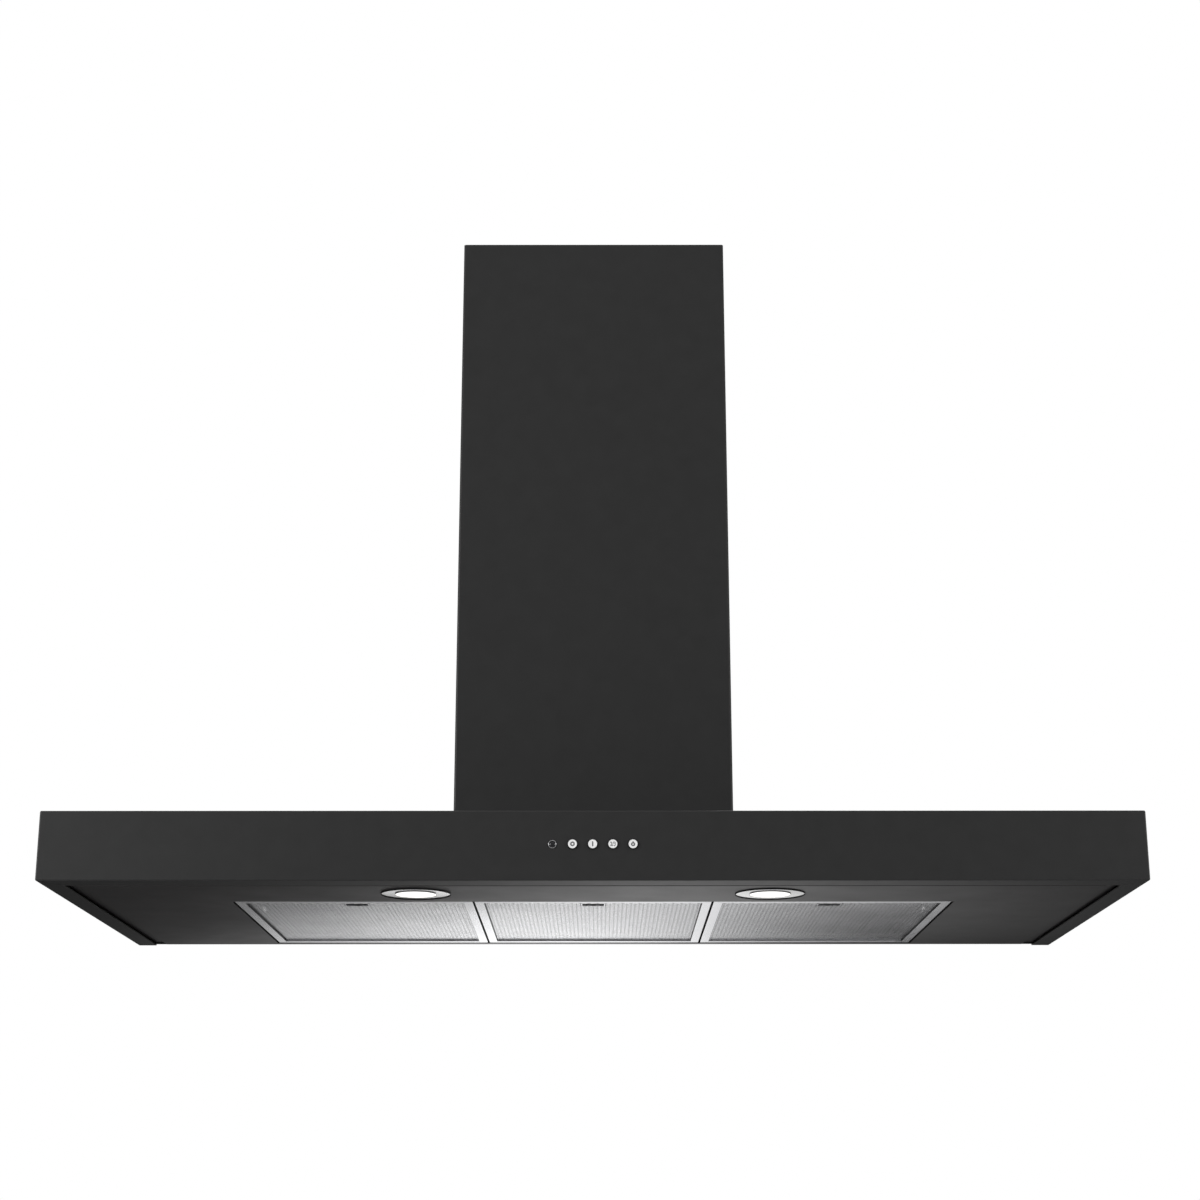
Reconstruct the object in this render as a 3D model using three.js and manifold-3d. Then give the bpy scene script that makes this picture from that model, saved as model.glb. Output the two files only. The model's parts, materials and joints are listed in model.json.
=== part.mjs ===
// A wall-mounted chimney range hood: a flat box canopy with three mesh grease filters, two round
// lamps and a row of push buttons, a centrifugal fan in a steel box, and a two-piece chimney.
// Millimetres, +Z up. The front faces -Y and the wall is the plane y = 0. Heights are written
// from the canopy's underside, and the whole hood is then lowered so that the origin is the
// middle of the wall rail's back face.
import * as THREE from "three";
import { mergeVertices } from "three/addons/utils/BufferGeometryUtils.js";
import Module from "manifold-3d";

const wasm = await Module();
wasm.setup();

// ---------- driving dimensions ----------
const GAP = 0.3; // between pieces that rest on each other
const SHEET = 1; // steel sheet of the canopy, chimney and fan box
const OVERSHOOT = 5; // how far a cutting tool passes the face it cuts

const CANOPY_WIDTH = 1100;
const CANOPY_DEPTH = 500;
const CANOPY_HEIGHT = 70;
const SIDE_RIM = 21.5; // the flange turned in under each side
const FRONT_RIM = 32; // the flange turned in under the front
const WALL_HOLE_RADIUS = 4; // in the canopy's rear wall, at half its height
const WALL_HOLE_FROM_SIDE = 150;

const RAIL_HEIGHT = 270; // middle of the wall rail above the canopy's underside
const RAIL_WIDTH = 200;
const RAIL_PLATE = 30;
const RAIL_SHEET = 1.5;
const RAIL_LIP = 12; // height of the rail's upturned lip
const RAIL_THROAT = 2.5; // between the rail's lip and the plane of its plate
const RAIL_HOLE_RADIUS = 3;
const RAIL_HOLE_X = 75;
const HANGER_MARGIN = 5; // the hanger is this much shorter than the rail at each end

const FILTER_NAMES = ["left", "centre", "right"];
const FILTER_WIDTH = 250.5;
const FILTER_THICKNESS = 9.5;
const FILTER_SPACING = 2; // between one filter and the next
const FILTER_TO_WALL = 16; // from the wall to the filters' rear face
const FILTER_FROM_FRONT = 153; // from the fascia to the filters' front face
const FILTER_SHEET = 0.8; // aluminium channel of the frame
const FILTER_LIP = 10; // visible width of the frame
const OPENING_MARGIN = 2.5; // from the filters to the edge of the panel's opening
const OPENING_HEM = 10; // height of the hem turned up round the opening
const FILTER_RECESS = 0.2; // the frames stand this much above the panel's underside

const NET_SHEET = 0.8;
const NET_RECESS = 1.5; // from the frame's underside to the net
const NET_COLUMNS = 6;
const NET_ROWS = 8;
const NET_STRAND = 4;
const MEDIA_SHEET = 0.5;
const MEDIA_WAVES = 16;

const TAB_WIDTH = 20; // rear tabs that carry a filter on the panel's rear strip
const TAB_LENGTH = 9;
const TAB_X = 85;

const LATCH_WIDTH = 27;
const LATCH_LENGTH = 30;
const LATCH_HEIGHT = 5;
const LATCH_TRAVEL = 6;
const LATCH_CLEARANCE = 2;
const TONGUE_WIDTH = 12;
const TONGUE_THICKNESS = 2;
const TONGUE_LIFT = 1; // the tongue's underside above the latch's
const GRIP_DEPTH = 3.2; // pocket for a fingertip in the latch
const GRIP_WIDTH = 22.7;
const GRIP_LENGTH = 8.5;
const GRIP_FROM_FRONT = 32; // from the filter's front face to the pocket's middle

const LAMP_X = 182;
const LAMP_FROM_FRONT = 94;
const LAMP_RADIUS = 36;
const LAMP_FLANGE = 1;
const LAMP_SLEEVE_RADIUS = 29;
const LAMP_SLEEVE_WALL = 1.5;
const LAMP_SLEEVE_HEIGHT = 18;
const LENS_RADIUS = 21.2;
const LENS_THICKNESS = 2.5;
const DOME_SHARE = 0.7; // of a lens's radius and rise, where its domed face bends
const LENS_SEAT = 1.2; // height of the lip that the lens rests on
const HEATSINK_RADIUS = 24;
const HEATSINK_HEIGHT = 16;
const HEATSINK_FINS = 2;
const CLIP_WIDTH = 10;

const CONTROL_HEIGHT = 36; // the row of controls above the canopy's underside
const CONTROL_PITCH = 20;
const BUTTON_NAMES = ["button_off", "button_speed_1", "button_speed_2", "button_light"];
const BUTTON_RADIUS = 5;
const BUTTON_PROUD = 2.5;
const BUTTON_TRAVEL = 2;
const BUTTON_LIP = 1.5; // how far its collar reaches beyond the cap
const BUTTON_COLLAR = 1.5;
const BUTTON_STEM_RADIUS = 2;
const BUTTON_STEM_LENGTH = 9;
const BUTTON_CHAMFER = 0.6;
const PILOT_RADIUS = 4.1;
const PILOT_RING = 0.7;
const PILOT_PROUD = 0.8;
const SWITCH_BLOCK_MARGIN = 8.5; // block beyond the outermost collars
const SWITCH_BLOCK_HEIGHT = 23;
const SWITCH_BLOCK_DEPTH = 17;
const SWITCH_BLOCK_POST_RADIUS = 3;
const SWITCH_STROKE_GAP = 0.7; // left between collar and block with a button fully pressed

const CHIMNEY_WIDTH = 308;
const CHIMNEY_DEPTH = 275;
const CHIMNEY_TOP = 795;
const CHIMNEY_BEND = 2.5; // outer radius of the folded corners
const CHIMNEY_RETURN = 15; // flange folded in along the wall
const CHIMNEY_CLEARANCE = 0.6; // between the lower cover and the sliding upper cover
const UPPER_TOP_STEP = 1; // how far its top stays below the lower cover's
const VENT_COUNT = 8;
const VENT_PITCH = 10;
const VENT_HEIGHT = 4;
const VENT_LENGTH = 110;
const VENT_FROM_TOP = 40;

const BRACKET_HEIGHT = 30;
const BRACKET_FROM_TOP = 6;
const BRACKET_SHEET = 1.5;
const BRACKET_LEG = 55;
const BRACKET_JOG = 3.5; // how far it steps round the cover's rear flange

const CLIP_FOOT = 13.7;
const CLIP_LENGTH = 30;
const CLIP_HEIGHT = 32;
const CLIP_FROM_WALL = 120;

const SCREW_RADIUS = 2;
const SCREW_HEAD_RADIUS = 4;
const SCREW_HEAD = 1.8;
const SCREW_FILLET = 0.6;

const FAN_BOX_HEIGHT = 260;
const FAN_BOX_FROM_WALL = 9;
const FAN_BOX_TO_SIDE = 19; // from the fan box to the outer face of the chimney's side
const FAN_BOX_TO_FRONT = 13; // and of its front
const FAN_BOX_FLANGE = 13; // turned in along the foot of each side
const FAN_SCREW_INSET = 31; // from the box's front and rear to the screws
const AIR_OPENING_MARGIN = 13; // from the box's walls to the hole in the canopy's top

const FAN_AXIS_FROM_WALL = 140;
const FAN_AXIS_RISE = 120; // above the canopy's top
const IMPELLER_RADIUS = 68;
const IMPELLER_WIDTH = 124;
const IMPELLER_BLADES = 20;
const IMPELLER_DISC = 2;
const BLADE_DEPTH = 12; // from the wheel's rim in to its eye
const BLADE_CHORD = 10.8;
const BLADE_THICKNESS = 1.5;
const BLADE_LEAN = 30; // degrees
const HUB_RADIUS = 12;
const HUB_LENGTH = 20;
const VOLUTE_CLEARANCE = 8; // from the impeller to the volute's tongue
const VOLUTE_GROWTH = 32; // of its radius, from the tongue to the outlet
const VOLUTE_TONGUE = 60; // degrees
const VOLUTE_STEPS = 24;
const VOLUTE_WALL = 2;
const VOLUTE_SIDE_GAP = 16; // from the impeller's end to the volute's inner face
const VOLUTE_OUTLET = 124; // length of the outlet at the top
const INLET_LIP = 2; // the inlet's radius is this much less than the eye's
const SHAFT_RADIUS = 4;
const MOTOR_RADIUS = 42;
const MOTOR_LENGTH = 62;
const SPIDER_RIM = 10;
const SPIDER_ARMS = 3;
const SPIDER_ARM = 12;
const SPIDER_HUB = 20;
const SPIDER_THICKNESS = 2;
const CAPACITOR_RADIUS = 14;
const CAPACITOR_LENGTH = 60;

const COLLAR_RADIUS = 75;
const COLLAR_WALL = 1.5;
const COLLAR_HEIGHT = 47;
const COLLAR_FLANGE = 9;
const COLLAR_LEDGE = 3;
const COLLAR_LEDGE_HEIGHT = 20;
const FLAP_SHEET = 1.2;
const FLAP_CLEARANCE = 1;
const FLAP_PIN_RADIUS = 1.5;
const FLAP_KNUCKLE_RADIUS = 3;
const FLAP_KNUCKLE_INSET = 14; // of the knuckle's ends from the collar's bore
const FLAP_PIN_OFFSET = 4.5; // each pin from the collar's middle

const TERMINAL_WIDTH = 40;
const TERMINAL_DEPTH = 60;
const TERMINAL_HEIGHT = 36;
const TERMINAL_WALL = 1.5;
const TERMINAL_INSET = 3; // from the fan box's side and front
const GLAND_RADIUS = 8;
const GLAND_THREAD = 6;
const GLAND_BORE = 3.5;
const GLAND_LENGTH = 14;
const DRIVER_WIDTH = 70;
const DRIVER_DEPTH = 50;
const DRIVER_HEIGHT = 25;
const DRIVER_FROM_SIDE = 50;
const DRIVER_FROM_WALL = 60;

// ---------- places worked out from them ----------
const halfWidth = CANOPY_WIDTH / 2;
const canopyCeiling = CANOPY_HEIGHT - SHEET; // underside of the canopy's top
const fasciaBack = -CANOPY_DEPTH + SHEET;
const canopyTop = CANOPY_HEIGHT + GAP; // where what stands on the canopy begins

const panelBottom = SHEET + GAP;
const panelTop = panelBottom + SHEET;
const frameBottom = panelBottom + FILTER_RECESS;
const frameTop = frameBottom + FILTER_THICKNESS;
const filterHalf = FILTER_WIDTH / 2;
const filterPitch = FILTER_WIDTH + FILTER_SPACING;
const filterRear = -FILTER_TO_WALL;
const filterFront = -CANOPY_DEPTH + FILTER_FROM_FRONT;
const openingHalf = (FILTER_NAMES.length * filterPitch - FILTER_SPACING) / 2 + OPENING_MARGIN;
const openingFront = filterFront - OPENING_MARGIN;
const openingRear = filterRear + OPENING_MARGIN;
const channelFront = filterFront + FILTER_SHEET + GAP; // reach of what lies in the channel
const channelRear = filterRear - FILTER_SHEET - GAP;
const channelHalf = filterHalf - FILTER_SHEET - GAP;
const netBottom = frameBottom + NET_RECESS;
const behindNet = netBottom + NET_SHEET + GAP;
const latchFront = filterFront + FILTER_LIP + GAP;
const latchSpaceHalf = LATCH_WIDTH / 2 + LATCH_CLEARANCE;
const latchSpaceRear = latchFront + LATCH_LENGTH + LATCH_TRAVEL + LATCH_CLEARANCE;
const gripFront = filterFront + GRIP_FROM_FRONT - GRIP_LENGTH / 2;
const tongueBottom = behindNet + TONGUE_LIFT;

const controlCount = BUTTON_NAMES.length + 1;
const firstControl = (-(controlCount - 1) / 2) * CONTROL_PITCH;
const collarRadius = BUTTON_RADIUS + BUTTON_LIP;
const switchBlockFront = fasciaBack + GAP + BUTTON_COLLAR + BUTTON_TRAVEL + SWITCH_STROKE_GAP;
const pilotLensRadius = PILOT_RADIUS - PILOT_RING - GAP;

const chimneyHalf = CHIMNEY_WIDTH / 2;
const upperHalf = chimneyHalf - SHEET - CHIMNEY_CLEARANCE;
const upperFront = -CHIMNEY_DEPTH + SHEET + CHIMNEY_CLEARANCE;
const upperRear = -SHEET - CHIMNEY_CLEARANCE;
const upperBottom = canopyTop + CLIP_HEIGHT + GAP; // the upper cover comes down on the clips
const upperTop = CHIMNEY_TOP - UPPER_TOP_STEP;
const clipY = -CLIP_FROM_WALL - CLIP_LENGTH / 2;
const clipScrewZ = canopyTop + CLIP_HEIGHT / 2 + SHEET;
const clipOuter = chimneyHalf - SHEET - GAP;

const fanBoxTop = canopyTop + FAN_BOX_HEIGHT;
const fanBoxHalf = chimneyHalf - FAN_BOX_TO_SIDE;
const fanBoxRear = -FAN_BOX_FROM_WALL;
const fanBoxFront = -CHIMNEY_DEPTH + FAN_BOX_TO_FRONT;
const fanScrewX = fanBoxHalf - FAN_BOX_FLANGE / 2;
const fanScrewRows = [fanBoxFront + FAN_SCREW_INSET, fanBoxRear - FAN_SCREW_INSET];
const screwHole = SCREW_RADIUS + GAP;
const screwGrip = 2 * SHEET + 3 * GAP; // two sheets and the gaps around them
const throatFront = RAIL_SHEET + RAIL_THROAT; // the rail's lip from the wall
const hangerBack = (throatFront - RAIL_SHEET) / 2; // the hanger's leg, centred in the throat

const fanY = -FAN_AXIS_FROM_WALL;
const fanZ = canopyTop + FAN_AXIS_RISE;
const eyeRadius = IMPELLER_RADIUS - BLADE_DEPTH;
const inletRadius = eyeRadius - INLET_LIP;
const voluteStart = IMPELLER_RADIUS + VOLUTE_CLEARANCE;
const voluteEnd = voluteStart + VOLUTE_GROWTH;
const voluteHalf = IMPELLER_WIDTH / 2 + VOLUTE_SIDE_GAP + VOLUTE_WALL;
const voluteTop = fanBoxTop - SHEET - GAP;
const collarBore = COLLAR_RADIUS - COLLAR_WALL;
const collarY = fanY + voluteEnd - VOLUTE_OUTLET / 2;
const collarBase = fanBoxTop + GAP;
const ledgeTop = collarBase + COLLAR_LEDGE_HEIGHT;
const flapBottom = ledgeTop + GAP;
const flapPinZ = flapBottom + FLAP_KNUCKLE_RADIUS;
const pinHole = FLAP_PIN_RADIUS + GAP;

// ---------- materials ----------
const painted = new THREE.MeshStandardMaterial({ color: 0x343434, roughness: 0.45, metalness: 0.3 });
const paintedPanel = new THREE.MeshStandardMaterial({ color: 0x3a3939, roughness: 0.3, metalness: 0.4 });
const aluminium = new THREE.MeshStandardMaterial({ color: 0xc9cacc, roughness: 0.35, metalness: 1 });
const meshMetal = new THREE.MeshStandardMaterial({ color: 0xb4b5b8, roughness: 0.4, metalness: 1 });
const galvanised = new THREE.MeshStandardMaterial({ color: 0xa4a8aa, roughness: 0.5, metalness: 1 });
const chrome = new THREE.MeshStandardMaterial({ color: 0xdedede, roughness: 0.12, metalness: 1 });
const buttonMetal = new THREE.MeshStandardMaterial({ color: 0xd8d8d8, roughness: 0.3, metalness: 0.6 });
const frosted = new THREE.MeshStandardMaterial({ color: 0xf4f4f0, roughness: 0.5, metalness: 0 });
const darkLens = new THREE.MeshStandardMaterial({ color: 0x17171a, roughness: 0.15, metalness: 0 });
const blackPlastic = new THREE.MeshStandardMaterial({ color: 0x1c1c1e, roughness: 0.6, metalness: 0 });
const whitePlastic = new THREE.MeshStandardMaterial({ color: 0xdcdcd8, roughness: 0.5, metalness: 0 });
const steel = new THREE.MeshStandardMaterial({ color: 0x8d9094, roughness: 0.35, metalness: 1 });

// ---------- helpers ----------

// A closed three.js geometry as a solid that can be joined and cut.
function solid(geometry) {
  const bare = geometry.index ? geometry.toNonIndexed() : geometry.clone();
  bare.deleteAttribute("normal");
  bare.deleteAttribute("uv");
  const merged = mergeVertices(bare, 1e-4);
  return new wasm.Manifold(
    new wasm.Mesh({
      numProp: 3,
      vertProperties: merged.attributes.position.array,
      triVerts: new Uint32Array(merged.index.array),
    }),
  );
}

// A named three.js mesh of a joined or cut solid.
function mesh(name, material, shape) {
  const { vertProperties, triVerts } = shape.getMesh();
  const geometry = new THREE.BufferGeometry();
  geometry.setAttribute("position", new THREE.BufferAttribute(vertProperties, 3));
  geometry.setIndex(new THREE.BufferAttribute(triVerts, 1));
  const faceted = geometry.toNonIndexed();
  faceted.computeVertexNormals();
  const made = new THREE.Mesh(faceted, material);
  made.name = name;
  return made;
}

// A solid block between two values on each axis.
function block([x0, x1], [y0, y1], [z0, z1]) {
  const geometry = new THREE.BoxGeometry(x1 - x0, y1 - y0, z1 - z0);
  geometry.translate((x0 + x1) / 2, (y0 + y1) / 2, (z0 + z1) / 2);
  return solid(geometry);
}

// A block that is as wide to the left as to the right.
function centredBlock(half, ySpan, zSpan) {
  return block([-half, half], ySpan, zSpan);
}

const upright = new THREE.Matrix4().makeRotationX(Math.PI / 2); // turns a lathe's axis from Y to Z
const sideways = new THREE.Matrix4().makeRotationZ(-Math.PI / 2); // and from Y to X
const asTurned = new THREE.Matrix4();

// A turned solid. The profile is a list of [radius, height] that runs anticlockwise with the
// radius to the right and the height up, and that starts and ends on the axis or closes on itself.
function turned(profile, segments, turn, [x, y, z] = [0, 0, 0]) {
  const points = profile.map(([radius, height]) => new THREE.Vector2(radius, height));
  const geometry = new THREE.LatheGeometry(points, segments);
  geometry.applyMatrix4(turn);
  geometry.translate(x, y, z);
  return solid(geometry);
}

// A plain cylinder from one height to another along the turned axis.
function rod(radius, from, to, segments, turn, place) {
  const profile = [[0, from], [radius, from], [radius, to], [0, to]];
  return turned(profile, segments, turn, place);
}

// A ring of rectangular section.
function ring(inner, outer, from, to, segments, turn, place) {
  const profile = [[inner, from], [outer, from], [outer, to], [inner, to], [inner, from]];
  return turned(profile, segments, turn, place);
}

// An outline through [x, y, radius] corners, each rounded by its radius.
function outline(corners) {
  const shape = new THREE.Shape();
  const at = corners.map(([x, y]) => new THREE.Vector2(x, y));
  corners.forEach(([, , radius = 0], i) => {
    const corner = at[i];
    const before = at[(i + at.length - 1) % at.length];
    const after = at[(i + 1) % at.length];
    const enter = before.clone().sub(corner).setLength(radius).add(corner);
    const leave = after.clone().sub(corner).setLength(radius).add(corner);
    if (i === 0) shape.moveTo(enter.x, enter.y);
    else shape.lineTo(enter.x, enter.y);
    if (radius > 0) shape.quadraticCurveTo(corner.x, corner.y, leave.x, leave.y);
  });
  shape.closePath();
  return shape;
}

// An outline in x and y, extruded up from one height to another.
function extrudedUp(shape, z0, z1, curveSegments = 3) {
  const geometry = new THREE.ExtrudeGeometry(shape, {
    depth: z1 - z0,
    bevelEnabled: false,
    curveSegments,
  });
  geometry.translate(0, 0, z0);
  return solid(geometry);
}

// An outline in y and z, extruded across from one x to another.
function extrudedAcross(shape, x0, x1) {
  const geometry = new THREE.ExtrudeGeometry(shape, { depth: x1 - x0, bevelEnabled: false });
  const across = new THREE.Matrix4().makeBasis(
    new THREE.Vector3(0, 1, 0),
    new THREE.Vector3(0, 0, 1),
    new THREE.Vector3(1, 0, 0),
  );
  geometry.applyMatrix4(across);
  geometry.translate(x0, 0, 0);
  return solid(geometry);
}

// An outline in x and z, extruded back from one y to another.
function extrudedBack(shape, y0, y1) {
  const geometry = new THREE.ExtrudeGeometry(shape, { depth: y1 - y0, bevelEnabled: false });
  const back = new THREE.Matrix4().makeBasis(
    new THREE.Vector3(1, 0, 0),
    new THREE.Vector3(0, 0, 1),
    new THREE.Vector3(0, -1, 0),
  );
  geometry.applyMatrix4(back);
  geometry.translate(0, y1, 0);
  return solid(geometry);
}

// A pan-head screw along Z: its head below zero and its shank above.
function screwGeometry(shank) {
  return turned(
    [
      [0, -SCREW_HEAD],
      [SCREW_HEAD_RADIUS - SCREW_FILLET, -SCREW_HEAD],
      [SCREW_HEAD_RADIUS, -SCREW_HEAD + SCREW_FILLET],
      [SCREW_HEAD_RADIUS, 0],
      [SCREW_RADIUS, 0],
      [SCREW_RADIUS, shank],
      [0, shank],
    ],
    12,
    upright,
  );
}

// ---------- canopy ----------

// The folded steel box: top, fascia, sides and rear wall, with a flange turned in under the
// front and the sides, holes for the controls, and the hole that the fan draws through.
function canopyBody() {
  const inside = halfWidth - SHEET;
  let body = centredBlock(halfWidth, [-CANOPY_DEPTH, 0], [0, CANOPY_HEIGHT]);
  body = body.subtract(centredBlock(inside, [fasciaBack, -SHEET], [SHEET, canopyCeiling]));
  const rimInside = halfWidth - SIDE_RIM;
  const rimBack = -CANOPY_DEPTH + FRONT_RIM;
  body = body.subtract(centredBlock(rimInside, [rimBack, -SHEET], [-OVERSHOOT, 2 * SHEET]));
  const airHalf = fanBoxHalf - AIR_OPENING_MARGIN;
  const airSpan = [fanBoxFront + AIR_OPENING_MARGIN, fanBoxRear - AIR_OPENING_MARGIN];
  const through = [canopyCeiling - OVERSHOOT, CANOPY_HEIGHT + OVERSHOOT];
  body = body.subtract(centredBlock(airHalf, airSpan, through));
  for (const side of [-1, 1]) {
    for (const y of fanScrewRows) {
      body = body.subtract(rod(screwHole, ...through, 12, upright, [side * fanScrewX, y, 0]));
    }
    const wallHole = [side * (halfWidth - WALL_HOLE_FROM_SIDE), 0, CANOPY_HEIGHT / 2];
    body = body.subtract(rod(WALL_HOLE_RADIUS, -OVERSHOOT, OVERSHOOT, 16, asTurned, wallHole));
  }
  for (let i = 0; i < controlCount; i++) {
    const radius = (i === 0 ? PILOT_RADIUS : BUTTON_RADIUS) + GAP;
    const place = [firstControl + i * CONTROL_PITCH, -CANOPY_DEPTH, CONTROL_HEIGHT];
    body = body.subtract(rod(radius, -OVERSHOOT, OVERSHOOT, 24, asTurned, place));
  }
  return mesh("canopy_body", painted, body);
}

// The recessed panel under the canopy. It lies on the rims, and its opening for the filters has
// a hem turned up on three sides; the rear edge stays flat to carry the filters' tabs.
function filterPanel() {
  const edge = halfWidth - SHEET - GAP;
  const ySpan = [fasciaBack + GAP, -SHEET - GAP];
  let panel = centredBlock(edge, ySpan, [panelBottom, panelTop]);
  const hem = centredBlock(
    openingHalf + SHEET,
    [openingFront - SHEET, openingRear],
    [panelBottom, panelTop + OPENING_HEM],
  );
  panel = panel.add(hem);
  const through = [panelBottom - OVERSHOOT, panelTop + OPENING_HEM + OVERSHOOT];
  panel = panel.subtract(centredBlock(openingHalf, [openingFront, openingRear], through));
  for (const side of [-1, 1]) {
    const place = [side * LAMP_X, -CANOPY_DEPTH + LAMP_FROM_FRONT, 0];
    panel = panel.subtract(rod(LAMP_SLEEVE_RADIUS + GAP, ...through, 24, upright, place));
  }
  const slotHalf = TONGUE_WIDTH / 2 + 2 * GAP;
  for (const i of FILTER_NAMES.keys()) {
    const x = filterX(i);
    const slot = block(
      [x - slotHalf, x + slotHalf],
      [openingFront - SHEET - OVERSHOOT, openingFront + GAP],
      [tongueBottom - 2 * GAP, tongueBottom + TONGUE_THICKNESS + 2 * GAP],
    );
    panel = panel.subtract(slot);
  }
  return mesh("filter_panel", paintedPanel, panel);
}

// ---------- grease filters ----------

function filterX(i) {
  return (i - (FILTER_NAMES.length - 1) / 2) * filterPitch;
}

// The aluminium channel round a filter, with the two rear tabs and the latch's slot.
function filterFrame(name) {
  let frame = centredBlock(filterHalf, [filterFront, filterRear], [frameBottom, frameTop]);
  const window = centredBlock(
    filterHalf - FILTER_LIP,
    [filterFront + FILTER_LIP, filterRear - FILTER_LIP],
    [frameBottom - OVERSHOOT, frameTop + OVERSHOOT],
  );
  const groove = centredBlock(
    filterHalf - FILTER_SHEET,
    [filterFront + FILTER_SHEET, filterRear - FILTER_SHEET],
    [frameBottom + FILTER_SHEET, frameTop - FILTER_SHEET],
  );
  frame = frame.subtract(window).subtract(groove);
  const tabBottom = panelTop + GAP;
  for (const side of [-1, 1]) {
    const x = side * TAB_X;
    const tab = block(
      [x - TAB_WIDTH / 2, x + TAB_WIDTH / 2],
      [filterRear - FILTER_SHEET / 2, filterRear + TAB_LENGTH],
      [tabBottom, tabBottom + SHEET],
    );
    frame = frame.add(tab);
  }
  const slot = centredBlock(
    TONGUE_WIDTH / 2 + GAP,
    [filterFront - OVERSHOOT, filterFront + 2 * FILTER_SHEET],
    [tongueBottom - GAP, tongueBottom + TONGUE_THICKNESS + GAP],
  );
  return mesh(name, aluminium, frame.subtract(slot));
}

// The net on a filter's face: staggered rows of diamond gaps between the frame's lips, and a
// window in front of the latch's pocket that leaves a fingertip room to pull it.
function filterNet(name) {
  const sheet = outline([
    [-channelHalf, channelFront],
    [channelHalf, channelFront],
    [channelHalf, channelRear],
    [-channelHalf, channelRear],
  ]);
  const gripHalf = GRIP_WIDTH / 2;
  const gripRear = gripFront + GRIP_LENGTH + LATCH_TRAVEL;
  const corners = [
    [-gripHalf, gripFront],
    [gripHalf, gripFront],
    [gripHalf, gripRear],
    [-gripHalf, gripRear],
  ];
  sheet.holes.push(outline(corners));
  const halfSpan = filterHalf - FILTER_LIP;
  const firstY = filterFront + FILTER_LIP;
  const cellX = (2 * halfSpan) / NET_COLUMNS;
  const cellY = (filterRear - FILTER_LIP - firstY) / NET_ROWS;
  const gapX = (cellX - NET_STRAND) / 2;
  const gapY = (cellY - NET_STRAND) / 2;
  for (let row = 0; row < 2 * NET_ROWS - 1; row++) {
    const offset = row % 2;
    const y = firstY + ((row + 1) * cellY) / 2;
    for (let column = 0; column < NET_COLUMNS - offset; column++) {
      const x = -halfSpan + (column + (1 + offset) / 2) * cellX;
      const acrossWindow = Math.abs(x) - gapX < gripHalf + NET_STRAND;
      if (acrossWindow && y - gapY < gripRear + NET_STRAND) continue;
      const diamond = [
        [x - gapX, y],
        [x, y - gapY],
        [x + gapX, y],
        [x, y + gapY],
      ];
      sheet.holes.push(outline(diamond));
    }
  }
  return mesh(name, meshMetal, extrudedUp(sheet, netBottom, netBottom + NET_SHEET));
}

// The corrugated layer behind the net, folded in waves that run from front to rear and cut
// away round the latch.
function filterMedia(name) {
  const high = frameTop - FILTER_SHEET - GAP - MEDIA_SHEET;
  const fold = (channelHalf * 2) / (2 * MEDIA_WAVES);
  const crease = (i) => [-channelHalf + i * fold, i % 2 ? high : behindNet];
  const creases = Array.from({ length: 2 * MEDIA_WAVES + 1 }, (_, i) => crease(i));
  const back = creases.map(([x, z]) => [x, z + MEDIA_SHEET]).reverse();
  const cut = centredBlock(
    latchSpaceHalf,
    [channelFront - OVERSHOOT, latchSpaceRear],
    [frameBottom, frameTop],
  );
  const layer = extrudedBack(outline([...creases, ...back]), channelFront, channelRear);
  return mesh(name, meshMetal, layer.subtract(cut));
}

// The sliding latch behind the net: a block with a fingertip pocket, and a tongue that reaches
// forward through the frame to the slot in the panel's hem.
function filterLatch(name) {
  const latch = centredBlock(
    LATCH_WIDTH / 2,
    [latchFront, latchFront + LATCH_LENGTH],
    [behindNet, behindNet + LATCH_HEIGHT],
  );
  const pocket = centredBlock(
    GRIP_WIDTH / 2,
    [gripFront, gripFront + GRIP_LENGTH],
    [behindNet - OVERSHOOT, behindNet + GRIP_DEPTH],
  );
  const tongue = centredBlock(
    TONGUE_WIDTH / 2,
    [openingFront + GAP, latchFront + GAP],
    [tongueBottom, tongueBottom + TONGUE_THICKNESS],
  );
  return mesh(name, aluminium, latch.add(tongue).subtract(pocket));
}

function filters() {
  const group = new THREE.Group();
  FILTER_NAMES.forEach((side, i) => {
    const cassette = new THREE.Group();
    cassette.position.x = filterX(i);
    cassette.add(filterFrame(`filter_frame_${side}`));
    cassette.add(filterNet(`filter_net_${side}`));
    cassette.add(filterMedia(`filter_media_${side}`));
    cassette.add(filterLatch(`filter_latch_${side}`));
    group.add(cassette);
  });
  return group;
}

// ---------- lamps ----------

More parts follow.
